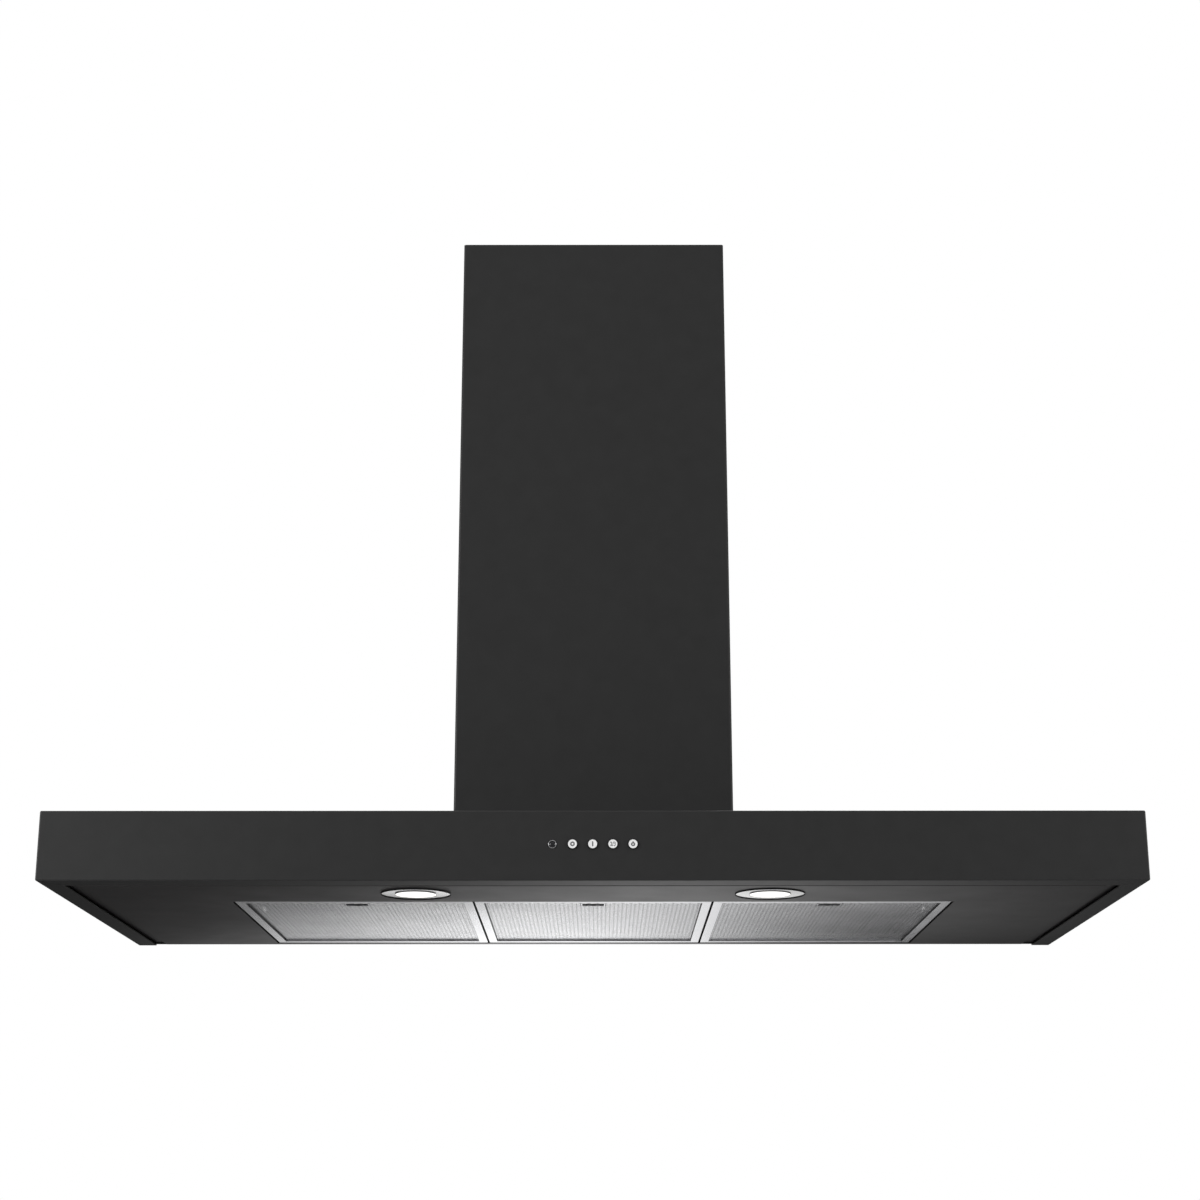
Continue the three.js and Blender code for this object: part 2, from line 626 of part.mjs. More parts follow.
// One round lamp, written from the panel's underside: a bezel with a sleeve and two spring
// tabs that hold it in the panel, the stepped lens, and the finned lamp body above it.
function lamp(side, x) {
  const group = new THREE.Group();
  group.position.set(x, -CANOPY_DEPTH + LAMP_FROM_FRONT, panelBottom);
  const sleeveInside = LAMP_SLEEVE_RADIUS - LAMP_SLEEVE_WALL;
  const lipRadius = LENS_RADIUS + GAP;
  const face = -GAP - LAMP_FLANGE;
  let bezel = turned(
    [
      [lipRadius, -GAP],
      [lipRadius + LAMP_FLANGE, face],
      [LAMP_RADIUS - LAMP_FLANGE / 2, face],
      [LAMP_RADIUS, face + LAMP_FLANGE / 2],
      [LAMP_RADIUS, -GAP],
      [LAMP_SLEEVE_RADIUS, -GAP],
      [LAMP_SLEEVE_RADIUS, LAMP_SLEEVE_HEIGHT],
      [sleeveInside, LAMP_SLEEVE_HEIGHT],
      [sleeveInside, LENS_SEAT],
      [lipRadius, LENS_SEAT],
      [lipRadius, -GAP],
    ],
    28,
    upright,
  );
  const tabReach = LAMP_RADIUS - GAP;
  for (const way of [-1, 1]) {
    const inner = way * (sleeveInside + LAMP_SLEEVE_WALL / 2);
    const outer = way * tabReach;
    const tab = block(
      [Math.min(inner, outer), Math.max(inner, outer)],
      [-CLIP_WIDTH / 2, CLIP_WIDTH / 2],
      [SHEET + GAP, 2 * SHEET + GAP],
    );
    bezel = bezel.add(tab);
  }
  group.add(mesh(`lamp_bezel_${side}`, chrome, bezel));
  const lensTop = LENS_SEAT + GAP + LENS_THICKNESS;
  const lens = turned(
    [
      [0, face + LAMP_FLANGE / 2],
      [LENS_RADIUS * DOME_SHARE, -GAP - LAMP_FLANGE / 4],
      [LENS_RADIUS, 0],
      [LENS_RADIUS, LENS_SEAT + GAP],
      [sleeveInside - GAP, LENS_SEAT + GAP],
      [sleeveInside - GAP, lensTop],
      [0, lensTop],
    ],
    28,
    upright,
  );
  group.add(mesh(`lamp_lens_${side}`, frosted, lens));
  const canTop = LAMP_SLEEVE_HEIGHT + SHEET;
  const profile = [[0, lensTop + GAP], [sleeveInside - GAP, lensTop + GAP], [sleeveInside - GAP, canTop]];
  const finPitch = HEATSINK_HEIGHT / HEATSINK_FINS;
  const stem = HEATSINK_RADIUS / 2;
  for (let fin = 0; fin < HEATSINK_FINS; fin++) {
    const z = canTop + fin * finPitch;
    profile.push([stem, z], [stem, z + finPitch / 2]);
    profile.push([HEATSINK_RADIUS, z + finPitch / 2], [HEATSINK_RADIUS, z + finPitch]);
  }
  profile.push([0, canTop + HEATSINK_HEIGHT]);
  group.add(mesh(`lamp_body_${side}`, galvanised, turned(profile, 16, upright)));
  return group;
}

// ---------- controls ----------

// A push button along Y: a chamfered cap through the fascia, a collar that stops it behind the
// fascia, and a stem that runs in the switch block.
function pushButton(name) {
  const collarFront = SHEET + GAP;
  const collarBack = collarFront + BUTTON_COLLAR;
  const cap = turned(
    [
      [0, -BUTTON_PROUD],
      [BUTTON_RADIUS - BUTTON_CHAMFER, -BUTTON_PROUD],
      [BUTTON_RADIUS, -BUTTON_PROUD + BUTTON_CHAMFER],
      [BUTTON_RADIUS, collarFront],
      [collarRadius, collarFront],
      [collarRadius, collarBack],
      [BUTTON_STEM_RADIUS, collarBack],
      [BUTTON_STEM_RADIUS, collarBack + BUTTON_STEM_LENGTH],
      [0, collarBack + BUTTON_STEM_LENGTH],
    ],
    20,
    asTurned,
  );
  return mesh(name, buttonMetal, cap);
}

// The pilot light's ring and its dark lens, which fills the ring and ends in the switch block.
function pilotRing() {
  const inner = PILOT_RADIUS - PILOT_RING;
  return mesh("pilot_ring", chrome, ring(inner, PILOT_RADIUS, -PILOT_PROUD, SHEET, 20, asTurned));
}

function pilotLens() {
  const back = switchBlockFront + CANOPY_DEPTH + 2 * GAP;
  const lens = turned(
    [
      [0, -PILOT_PROUD],
      [pilotLensRadius * DOME_SHARE, -PILOT_PROUD * DOME_SHARE],
      [pilotLensRadius, 0],
      [pilotLensRadius, back],
      [0, back],
    ],
    20,
    asTurned,
  );
  return mesh("pilot_lens", darkLens, lens);
}

// The switch block behind the fascia, with a bore for each stem and two posts that stand on
// the fascia's back.
function switchBlock() {
  const half = -firstControl + collarRadius + SWITCH_BLOCK_MARGIN;
  const zSpan = [
    CONTROL_HEIGHT - SWITCH_BLOCK_HEIGHT / 2,
    CONTROL_HEIGHT + SWITCH_BLOCK_HEIGHT / 2,
  ];
  const back = switchBlockFront + SWITCH_BLOCK_DEPTH;
  let shape = centredBlock(half, [switchBlockFront, back], zSpan);
  for (const side of [-1, 1]) {
    const x = side * (half - SWITCH_BLOCK_POST_RADIUS);
    const place = [x, fasciaBack, CONTROL_HEIGHT];
    const reach = switchBlockFront - fasciaBack + SHEET;
    shape = shape.add(rod(SWITCH_BLOCK_POST_RADIUS, GAP, reach, 12, asTurned, place));
  }
  const boreDepth = BUTTON_STEM_LENGTH + BUTTON_TRAVEL;
  for (let i = 0; i < controlCount; i++) {
    const radius = (i === 0 ? pilotLensRadius : BUTTON_STEM_RADIUS) + GAP;
    const place = [firstControl + i * CONTROL_PITCH, switchBlockFront, CONTROL_HEIGHT];
    shape = shape.subtract(rod(radius, -OVERSHOOT, boreDepth, 12, asTurned, place));
  }
  return mesh("switch_block", blackPlastic, shape);
}

function controls() {
  const group = new THREE.Group();
  group.add(switchBlock());
  const row = new THREE.Group();
  row.position.set(firstControl, -CANOPY_DEPTH, CONTROL_HEIGHT);
  row.add(pilotRing(), pilotLens());
  BUTTON_NAMES.forEach((name, i) => {
    const button = pushButton(name);
    button.position.x = (i + 1) * CONTROL_PITCH;
    row.add(button);
  });
  group.add(row);
  return group;
}

// ---------- chimney ----------

// A cover folded from one sheet: front, two sides and a narrow flange along the wall.
function coverOutline(half, front, rear) {
  const bend = CHIMNEY_BEND;
  const inBend = CHIMNEY_BEND - SHEET;
  const tip = half - CHIMNEY_RETURN;
  const inHalf = half - SHEET;
  return outline([
    [-tip, rear],
    [-half, rear, SHEET],
    [-half, front, bend],
    [half, front, bend],
    [half, rear, SHEET],
    [tip, rear],
    [tip, rear - SHEET],
    [inHalf, rear - SHEET],
    [inHalf, front + SHEET, inBend],
    [-inHalf, front + SHEET, inBend],
    [-inHalf, rear - SHEET],
    [-tip, rear - SHEET],
  ]);
}

// The fixed lower cover. It stands on the canopy, and a screw on each side holds it to a clip.
function lowerChimney() {
  const shape = coverOutline(chimneyHalf, -CHIMNEY_DEPTH, 0);
  let cover = extrudedUp(shape, canopyTop, CHIMNEY_TOP);
  for (const side of [-1, 1]) {
    const place = [side * chimneyHalf, clipY, clipScrewZ];
    cover = cover.subtract(rod(screwHole, -OVERSHOOT, OVERSHOOT, 12, sideways, place));
  }
  return mesh("lower_chimney", painted, cover);
}

// The upper cover, which slides up out of the lower one, with rows of vents near its top.
function upperChimney() {
  const shape = coverOutline(upperHalf, upperFront, upperRear);
  let cover = extrudedUp(shape, upperBottom, upperTop);
  const middle = (upperFront + upperRear) / 2;
  const span = [middle - VENT_LENGTH / 2, middle + VENT_LENGTH / 2];
  for (let i = 0; i < VENT_COUNT; i++) {
    const z = upperTop - VENT_FROM_TOP - i * VENT_PITCH;
    const cut = centredBlock(upperHalf + OVERSHOOT, span, [z - VENT_HEIGHT, z]);
    cover = cover.subtract(cut);
  }
  return mesh("upper_chimney", painted, cover);
}

// The wall bracket at the top of the upper cover: a plate on the wall that steps round the
// cover's rear flanges and runs forward along both sides.
function chimneyBracket() {
  const legOuter = upperHalf - SHEET - GAP;
  const tip = upperHalf - CHIMNEY_RETURN - GAP;
  const step = upperRear - BRACKET_JOG;
  const corners = (sign) => [
    [sign * tip, 0],
    [sign * tip, step],
    [sign * legOuter, step],
    [sign * legOuter, step - BRACKET_LEG],
    [sign * (legOuter - BRACKET_SHEET), step - BRACKET_LEG],
    [sign * (legOuter - BRACKET_SHEET), step - BRACKET_SHEET],
    [sign * (tip - BRACKET_SHEET), step - BRACKET_SHEET],
    [sign * (tip - BRACKET_SHEET), -BRACKET_SHEET],
  ];
  const top = upperTop - BRACKET_FROM_TOP;
  const shape = outline([...corners(1), ...corners(-1).reverse()]);
  return mesh("chimney_bracket", galvanised, extrudedUp(shape, top - BRACKET_HEIGHT, top));
}

// An angle clip on the canopy that a side of the lower cover is screwed to.
function chimneyClip(side) {
  const ySpan = [clipY - CLIP_LENGTH / 2, clipY + CLIP_LENGTH / 2];
  const span = (a, b) => [Math.min(side * a, side * b), Math.max(side * a, side * b)];
  const foot = block(
    span(clipOuter - CLIP_FOOT, clipOuter),
    ySpan,
    [canopyTop, canopyTop + SHEET],
  );
  const leg = block(
    span(clipOuter - SHEET, clipOuter),
    ySpan,
    [canopyTop, canopyTop + CLIP_HEIGHT],
  );
  const place = [side * clipOuter, clipY, clipScrewZ];
  const hole = rod(screwHole, -OVERSHOOT, OVERSHOOT, 12, sideways, place);
  return foot.add(leg).subtract(hole);
}

function chimneyFixings() {
  const group = new THREE.Group();
  for (const [name, side] of [["left", -1], ["right", 1]]) {
    group.add(mesh(`chimney_clip_${name}`, galvanised, chimneyClip(side)));
    const shank = screwGrip + SCREW_RADIUS;
    const screw = mesh(`chimney_screw_${name}`, steel, screwGeometry(shank));
    screw.rotation.y = -side * (Math.PI / 2);
    screw.position.set(side * (chimneyHalf + GAP), clipY, clipScrewZ);
    group.add(screw);
  }
  return group;
}

// ---------- wall rail ----------

// The rail on the wall: a plate whose upper edge steps out and turns up into a lip.
function wallRail() {
  const low = RAIL_HEIGHT - RAIL_PLATE / 2;
  const high = RAIL_HEIGHT + RAIL_PLATE / 2;
  const lipTop = high + RAIL_LIP;
  const profile = outline([
    [-RAIL_SHEET, low],
    [0, low],
    [0, high],
    [-throatFront, high],
    [-throatFront, lipTop],
    [-throatFront - RAIL_SHEET, lipTop],
    [-throatFront - RAIL_SHEET, high - RAIL_SHEET],
    [-RAIL_SHEET, high - RAIL_SHEET],
  ]);
  let rail = extrudedAcross(profile, -RAIL_WIDTH / 2, RAIL_WIDTH / 2);
  for (const side of [-1, 1]) {
    const place = [side * RAIL_HOLE_X, 0, RAIL_HEIGHT];
    rail = rail.subtract(rod(RAIL_HOLE_RADIUS, -OVERSHOOT, OVERSHOOT, 16, asTurned, place));
  }
  return mesh("wall_rail", galvanised, rail);
}

// The hanger on the fan box: it goes over the rail's lip and down into the throat behind it.
function fanBoxHanger() {
  const plateFront = fanBoxRear + GAP;
  const plateBack = plateFront + RAIL_SHEET;
  const legFoot = RAIL_HEIGHT + RAIL_PLATE / 2 + GAP;
  const top = RAIL_HEIGHT + RAIL_PLATE / 2 + RAIL_LIP + 2 * GAP + RAIL_SHEET;
  const profile = outline([
    [plateFront, RAIL_HEIGHT],
    [plateBack, RAIL_HEIGHT],
    [plateBack, top - RAIL_SHEET],
    [-hangerBack - RAIL_SHEET, top - RAIL_SHEET],
    [-hangerBack - RAIL_SHEET, legFoot],
    [-hangerBack, legFoot],
    [-hangerBack, top],
    [plateFront, top],
  ]);
  const half = RAIL_WIDTH / 2 - HANGER_MARGIN;
  return mesh("fan_box_hanger", galvanised, extrudedAcross(profile, -half, half));
}

// ---------- fan ----------

// The steel box round the fan: open below, with a flange turned in along the foot of each side
// and a round hole in its top under the outlet collar.
function fanBox() {
  const ySpan = [fanBoxFront, fanBoxRear];
  const innerY = [fanBoxFront + SHEET, fanBoxRear - SHEET];
  let shape = centredBlock(fanBoxHalf, ySpan, [canopyTop, fanBoxTop]);
  const inside = [canopyTop + SHEET, fanBoxTop - SHEET];
  shape = shape.subtract(centredBlock(fanBoxHalf - SHEET, innerY, inside));
  const mouth = fanBoxHalf - FAN_BOX_FLANGE;
  const foot = [canopyTop - OVERSHOOT, canopyTop + 2 * SHEET];
  shape = shape.subtract(centredBlock(mouth, innerY, foot));
  const roof = [fanBoxTop - OVERSHOOT, fanBoxTop + OVERSHOOT];
  shape = shape.subtract(rod(collarBore, ...roof, 32, upright, [0, collarY, 0]));
  for (const x of [-fanScrewX, fanScrewX]) {
    for (const y of fanScrewRows) {
      shape = shape.subtract(rod(screwHole, ...foot, 12, upright, [x, y, 0]));
    }
  }
  return mesh("fan_box", galvanised, shape);
}

function fanBoxScrews() {
  const group = new THREE.Group();
  const corners = fanScrewRows.flatMap((y) => [[-fanScrewX, y], [fanScrewX, y]]);
  corners.forEach(([x, y], i) => {
    const shank = screwGrip + 2 * SCREW_RADIUS;
    const screw = mesh(`fan_box_screw_${i + 1}`, steel, screwGeometry(shank));
    screw.position.set(x, y, canopyCeiling - GAP);
    group.add(screw);
  });
  return group;
}

// The volute's outline in y and z: a spiral that opens from the tongue to the outlet, and an
// outlet that flares up to the fan box's roof. A positive inset gives the inner face.
function voluteOutline(inset, top) {
  const shape = new THREE.Shape();
  const outerY = fanY + voluteEnd - inset;
  shape.moveTo(outerY, top);
  for (let i = 0; i <= VOLUTE_STEPS; i++) {
    const share = 1 - i / VOLUTE_STEPS;
    const angle = THREE.MathUtils.degToRad(VOLUTE_TONGUE + share * (360 - VOLUTE_TONGUE));
    const radius = voluteStart + share * VOLUTE_GROWTH - inset;
    shape.lineTo(fanY + radius * Math.cos(angle), fanZ + radius * Math.sin(angle));
  }
  shape.lineTo(fanY + voluteEnd - VOLUTE_OUTLET + inset, top);
  shape.closePath();
  return shape;
}

// One half of the volute, split at the middle plane, with its round inlet.
function voluteShell(name, side) {
  const from = GAP / 2;
  const to = voluteHalf;
  const span = (a, b) => [Math.min(side * a, side * b), Math.max(side * a, side * b)];
  const outer = extrudedAcross(voluteOutline(0, voluteTop), ...span(from, to));
  const hollow = voluteOutline(VOLUTE_WALL, voluteTop + OVERSHOOT);
  const inner = extrudedAcross(hollow, ...span(-OVERSHOOT, to - VOLUTE_WALL));
  const place = [side * to, fanY, fanZ];
  const inlet = rod(inletRadius, -OVERSHOOT, OVERSHOOT, 24, sideways, place);
  return mesh(name, blackPlastic, outer.subtract(inner).subtract(inlet));
}

// The double-inlet fan wheel: a disc and hub in the middle, a ring at each end, and leaning
// blades from ring to ring. It turns about X.
function impeller() {
  const half = IMPELLER_WIDTH / 2;
  const segments = 2 * IMPELLER_BLADES;
  let wheel = rod(IMPELLER_RADIUS, -IMPELLER_DISC / 2, IMPELLER_DISC / 2, segments, sideways);
  wheel = wheel.add(rod(HUB_RADIUS, -HUB_LENGTH / 2, HUB_LENGTH / 2, 16, sideways));
  for (const from of [-half, half - IMPELLER_DISC]) {
    const to = from + IMPELLER_DISC;
    wheel = wheel.add(ring(eyeRadius, IMPELLER_RADIUS, from, to, segments, sideways));
  }
  for (let i = 0; i < IMPELLER_BLADES; i++) {
    const blade = new THREE.BoxGeometry(
      IMPELLER_WIDTH - IMPELLER_DISC,
      BLADE_CHORD,
      BLADE_THICKNESS,
    );
    blade.rotateX(THREE.MathUtils.degToRad(BLADE_LEAN));
    blade.translate(0, IMPELLER_RADIUS - BLADE_DEPTH / 2, 0);
    blade.rotateX((i * 2 * Math.PI) / IMPELLER_BLADES);
    wheel = wheel.add(solid(blade));
  }
  const bore = rod(SHAFT_RADIUS + GAP, -HUB_LENGTH, HUB_LENGTH, 16, sideways);
  const made = mesh("impeller", galvanised, wheel.subtract(bore));
  made.position.set(0, fanY, fanZ);
  return made;
}

// The motor hangs in the left inlet on a three-armed spider; its shaft carries the impeller.
function motorParts() {
  const group = new THREE.Group();
  group.position.set(0, fanY, fanZ);
  const spiderIn = -voluteHalf - GAP;
  const spiderOut = spiderIn - SPIDER_THICKNESS;
  const rim = inletRadius + SPIDER_RIM;
  let spider = ring(inletRadius, rim, spiderOut, spiderIn, 24, sideways);
  spider = spider.add(rod(SPIDER_HUB, spiderOut, spiderIn, 20, sideways));
  for (let i = 0; i < SPIDER_ARMS; i++) {
    const reach = (inletRadius + rim) / 2;
    const arm = new THREE.BoxGeometry(SPIDER_THICKNESS, SPIDER_ARM, reach);
    arm.translate((spiderIn + spiderOut) / 2, 0, reach / 2);
    arm.rotateX((i * 2 * Math.PI) / SPIDER_ARMS);
    spider = spider.add(solid(arm));
  }
  group.add(mesh("motor_spider", steel, spider));
  const motorStart = spiderIn + GAP;
  const motorEnd = motorStart + MOTOR_LENGTH;
  const edge = SHEET * 2;
  const motor = turned(
    [
      [0, motorStart],
      [MOTOR_RADIUS - edge, motorStart],
      [MOTOR_RADIUS, motorStart + edge],
      [MOTOR_RADIUS, motorEnd - edge],
      [MOTOR_RADIUS - edge, motorEnd],
      [0, motorEnd],
    ],
    24,
    sideways,
  );
  group.add(mesh("motor", steel, motor));
  const shaft = rod(SHAFT_RADIUS, motorEnd + GAP, HUB_LENGTH / 2 + SHEET, 16, sideways);
  group.add(mesh("motor_shaft", steel, shaft));
  return group;
}

// The motor's capacitor, upright against the left wall of the fan box.
function capacitor() {
  const x = -fanBoxHalf + SHEET + GAP + CAPACITOR_RADIUS;
  const y = fanBoxFront + SHEET + GAP + CAPACITOR_RADIUS;
  const top = fanBoxTop - SHEET - GAP;
  const can = rod(CAPACITOR_RADIUS, top - CAPACITOR_LENGTH, top, 16, upright, [x, y, 0]);
  return mesh("capacitor", whitePlastic, can);
}

// ---------- outlet ----------

// The outlet collar on the fan box: a flange, the round spigot that the duct goes over, and a
// ledge inside that the closed flaps lie on.
function outletCollar() {
  const flangeTop = collarBase + COLLAR_WALL;
  const top = collarBase + COLLAR_HEIGHT;
  const profile = [
    [collarBore, collarBase],
    [COLLAR_RADIUS + COLLAR_FLANGE, collarBase],
    [COLLAR_RADIUS + COLLAR_FLANGE, flangeTop],
    [COLLAR_RADIUS, flangeTop],
    [COLLAR_RADIUS, top],
    [collarBore, top],
    [collarBore, ledgeTop],
    [collarBore - COLLAR_LEDGE, ledgeTop],
    [collarBore - COLLAR_LEDGE, ledgeTop - COLLAR_WALL],
    [collarBore, ledgeTop - COLLAR_WALL],
    [collarBore, collarBase],
  ];
  let collar = turned(profile, 32, upright, [0, collarY, 0]);
  for (const side of [-1, 1]) {
    const place = [0, collarY + side * FLAP_PIN_OFFSET, flapPinZ];
    const reach = COLLAR_RADIUS + OVERSHOOT;
    collar = collar.subtract(rod(pinHole, -reach, reach, 10, sideways, place));
  }
  return mesh("outlet_collar", blackPlastic, collar);
}

// One flap of the non-return damper: half a disc with a knuckle along its straight edge.
// side is -1 for the flap nearer the front and 1 for the one nearer the wall.
function damperFlap(name, side) {
  const hingeY = side * FLAP_PIN_OFFSET;
  const radius = collarBore - FLAP_CLEARANCE;
  const shape = new THREE.Shape();
  const start = Math.asin(FLAP_PIN_OFFSET / radius);
  const first = side > 0 ? start : Math.PI + start;
  const last = side > 0 ? Math.PI - start : 2 * Math.PI - start;
  shape.absarc(0, 0, radius, first, last, false);
  shape.closePath();
  let flap = extrudedUp(shape, flapBottom, flapBottom + FLAP_SHEET, 16);
  const half = collarBore - FLAP_KNUCKLE_INSET;
  const place = [0, hingeY, flapPinZ];
  flap = flap.add(rod(FLAP_KNUCKLE_RADIUS, -half, half, 12, sideways, place));
  const reach = COLLAR_RADIUS;
  flap = flap.subtract(rod(pinHole, -reach, reach, 10, sideways, place));
  const made = mesh(name, aluminium, flap);
  made.position.y = collarY;
  return made;
}

function damperPin(name, side) {
  const half = COLLAR_RADIUS - GAP;
  const pin = mesh(name, steel, rod(FLAP_PIN_RADIUS, -half, half, 10, sideways));
  pin.position.set(0, collarY + side * FLAP_PIN_OFFSET, flapPinZ);
  return pin;
}

// ---------- electrics ----------

// The terminal box on the fan box's roof, its lid, and the gland for the mains cable.
function terminalBox() {
  const group = new THREE.Group();
  const x0 = -fanBoxHalf + TERMINAL_INSET;
  const y0 = fanBoxFront + TERMINAL_INSET;
  const z0 = fanBoxTop + GAP;
  group.position.set(x0, y0, z0);
  const wall = TERMINAL_WALL;
  const glandX = TERMINAL_WIDTH / 2;
  const glandZ = TERMINAL_HEIGHT / 2;
  let shell = block([0, TERMINAL_WIDTH], [0, TERMINAL_DEPTH], [0, TERMINAL_HEIGHT]);
  const hollow = block(
    [wall, TERMINAL_WIDTH - wall],
    [wall, TERMINAL_DEPTH - wall],
    [wall, TERMINAL_HEIGHT + OVERSHOOT],
  );
  const glandPlace = [glandX, TERMINAL_DEPTH, glandZ];
  const hole = rod(GLAND_THREAD + GAP, -OVERSHOOT, OVERSHOOT, 16, asTurned, glandPlace);
  shell = shell.subtract(hollow).subtract(hole);
  group.add(mesh("terminal_box", whitePlastic, shell));
  const lidZ = TERMINAL_HEIGHT + GAP;
  const lid = block([0, TERMINAL_WIDTH], [0, TERMINAL_DEPTH], [lidZ, lidZ + wall]);
  group.add(mesh("terminal_lid", whitePlastic, lid));
  const gland = turned(
    [
      [GLAND_BORE, -2 * wall],
      [GLAND_THREAD, -2 * wall],
      [GLAND_THREAD, GAP],
      [GLAND_RADIUS, GAP],
      [GLAND_RADIUS, GLAND_LENGTH - wall],
      [GLAND_RADIUS - wall, GLAND_LENGTH],
      [GLAND_BORE, GLAND_LENGTH],
      [GLAND_BORE, -2 * wall],
    ],
    16,
    asTurned,
    glandPlace,
  );
  group.add(mesh("cable_gland", blackPlastic, gland));
  return group;
}

// The lamps' driver under the canopy's top, to the right of the filters.
function lampDriver() {
  const top = canopyCeiling - GAP;
  const right = halfWidth - DRIVER_FROM_SIDE;
  const driver = block(
    [right - DRIVER_WIDTH, right],
    [-DRIVER_FROM_WALL - DRIVER_DEPTH, -DRIVER_FROM_WALL],
    [top - DRIVER_HEIGHT, top],
  );
  return mesh("lamp_driver", whitePlastic, driver);
}

// ---------- the hood ----------
const hood = new THREE.Group();
hood.add(canopyBody(), filterPanel(), filters());
hood.add(lamp("left", -LAMP_X), lamp("right", LAMP_X), controls());
hood.add(lowerChimney(), upperChimney(), chimneyBracket(), chimneyFixings());
hood.add(wallRail(), fanBoxHanger(), fanBox(), fanBoxScrews());
hood.add(voluteShell("volute_left", -1), voluteShell("volute_right", 1));
hood.add(impeller(), motorParts(), capacitor());
hood.add(outletCollar(), damperFlap("damper_flap_front", -1), damperFlap("damper_flap_rear", 1));
hood.add(damperPin("damper_pin_front", -1), damperPin("damper_pin_rear", 1));
hood.add(terminalBox(), lampDriver());
hood.position.z = -RAIL_HEIGHT;

export default hood;
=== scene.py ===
"""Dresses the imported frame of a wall-mounted chimney range hood for its picture.

The hood is built as its maker would list it: canopy, filters, lamps, controls, chimney, wall
hanging, fan, outlet and electrics. Each sub-assembly is a class that holds its sizes in metres
and makes its own pieces round the places that the frame gives.
"""

from __future__ import annotations

import json
import logging
import math
from dataclasses import dataclass
from enum import Enum
from functools import cache
from typing import Callable, Iterable, Sequence

import bmesh
import bpy
from mathutils import Matrix, Vector

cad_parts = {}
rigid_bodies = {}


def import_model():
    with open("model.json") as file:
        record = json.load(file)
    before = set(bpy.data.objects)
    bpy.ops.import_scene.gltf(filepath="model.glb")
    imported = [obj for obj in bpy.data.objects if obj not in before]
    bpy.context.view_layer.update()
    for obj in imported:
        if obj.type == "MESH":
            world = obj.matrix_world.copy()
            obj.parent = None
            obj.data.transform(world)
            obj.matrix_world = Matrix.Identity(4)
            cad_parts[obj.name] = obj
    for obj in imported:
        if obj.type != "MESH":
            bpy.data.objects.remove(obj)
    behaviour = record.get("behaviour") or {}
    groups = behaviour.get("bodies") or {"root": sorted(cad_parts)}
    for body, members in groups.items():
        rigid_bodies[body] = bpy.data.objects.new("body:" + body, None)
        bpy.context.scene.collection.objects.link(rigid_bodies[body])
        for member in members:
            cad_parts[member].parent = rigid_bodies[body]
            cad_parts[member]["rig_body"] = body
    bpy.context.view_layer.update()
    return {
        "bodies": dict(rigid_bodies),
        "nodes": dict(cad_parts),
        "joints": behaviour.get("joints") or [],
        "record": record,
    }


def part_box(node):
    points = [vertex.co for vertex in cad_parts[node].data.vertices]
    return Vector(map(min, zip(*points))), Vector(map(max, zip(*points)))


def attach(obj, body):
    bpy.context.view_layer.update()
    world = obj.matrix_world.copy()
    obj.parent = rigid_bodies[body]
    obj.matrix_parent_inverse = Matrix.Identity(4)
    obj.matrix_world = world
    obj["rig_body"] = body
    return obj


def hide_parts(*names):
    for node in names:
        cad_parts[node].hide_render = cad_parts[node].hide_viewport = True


LOG = logging.getLogger("range_hood")
MM = 0.001

Point = tuple[float, float, float]
Span = tuple[float, float]
Four = tuple[float, float, float, float]
Test = Callable[[Vector], bool]


# ---------- finishes ----------


class Slot(Enum):
    """The material slots that the record names."""

    ENAMEL = "black_enamel"
    PANEL = "black_panel"
    FRAME = "filter_aluminium"
    NET = "filter_mesh"
    CHROME = "chrome_trim"
    BUTTON = "button_silver"
    LENS = "frosted_lens"
    PILOT = "dark_lens"
    BLACK = "black_plastic"
    WHITE = "white_plastic"
    ZINC = "galvanised_steel"
    STEEL = "fastener_steel"


class Grain(Enum):
    """How a finish's fine structure runs: the stretch of its pattern on X, Y and Z."""

    EVEN = (1.0, 1.0, 1.0)
    ALONG_X = (0.02, 1.0, 1.0)
    ALONG_Y = (1.0, 0.02, 1.0)


def feed(tree: bpy.types.NodeTree, node: bpy.types.Node, **values: object) -> bpy.types.Node:
    """Links sockets to a node's inputs, and sets anything else as their value.

    Args:
        tree: the node tree.
        node: the node.
        **values: by an input's name with spaces as underscores, or by number as in0, in1 and so on.

    Returns:
        The node.
    """
    for key, value in values.items():
        by_number = key.startswith("in") and key[2:].isdigit()
        socket = node.inputs[int(key[2:]) if by_number else key.replace("_", " ")]
        if isinstance(value, bpy.types.NodeSocket):
            tree.links.new(value, socket)
        else:
            socket.default_value = value
    return node


def add_node(tree: bpy.types.NodeTree, kind: str, **values: object) -> bpy.types.Node:
    """Adds a shader node to a tree, and sets its properties and inputs.

    Args:
        tree: the node tree.
        kind: the node's type, without ShaderNode.
        **values: properties of the node, and inputs as feed takes them.

    Returns:
        The node.
    """
    node = tree.nodes.new(f"ShaderNode{kind}")
    for key in [key for key in values if hasattr(node, key)]:
        setattr(node, key, values.pop(key))
    return feed(tree, node, **values)


def vector_maths(
    tree: bpy.types.NodeTree, operation: str, **values: object
) -> bpy.types.NodeSocket:
    """Adds a Vector Math node, and returns its vector."""
    return add_node(tree, "VectorMath", operation=operation, **values).outputs[0]


def maths(
    tree: bpy.types.NodeTree, operation: str, *values: object, **more: object
) -> bpy.types.NodeSocket:
    """Adds a Math node for some values or sockets, and returns its output."""
    given = {f"in{i}": value for i, value in enumerate(values)}
    return add_node(tree, "Math", operation=operation, **more, **given).outputs[0]


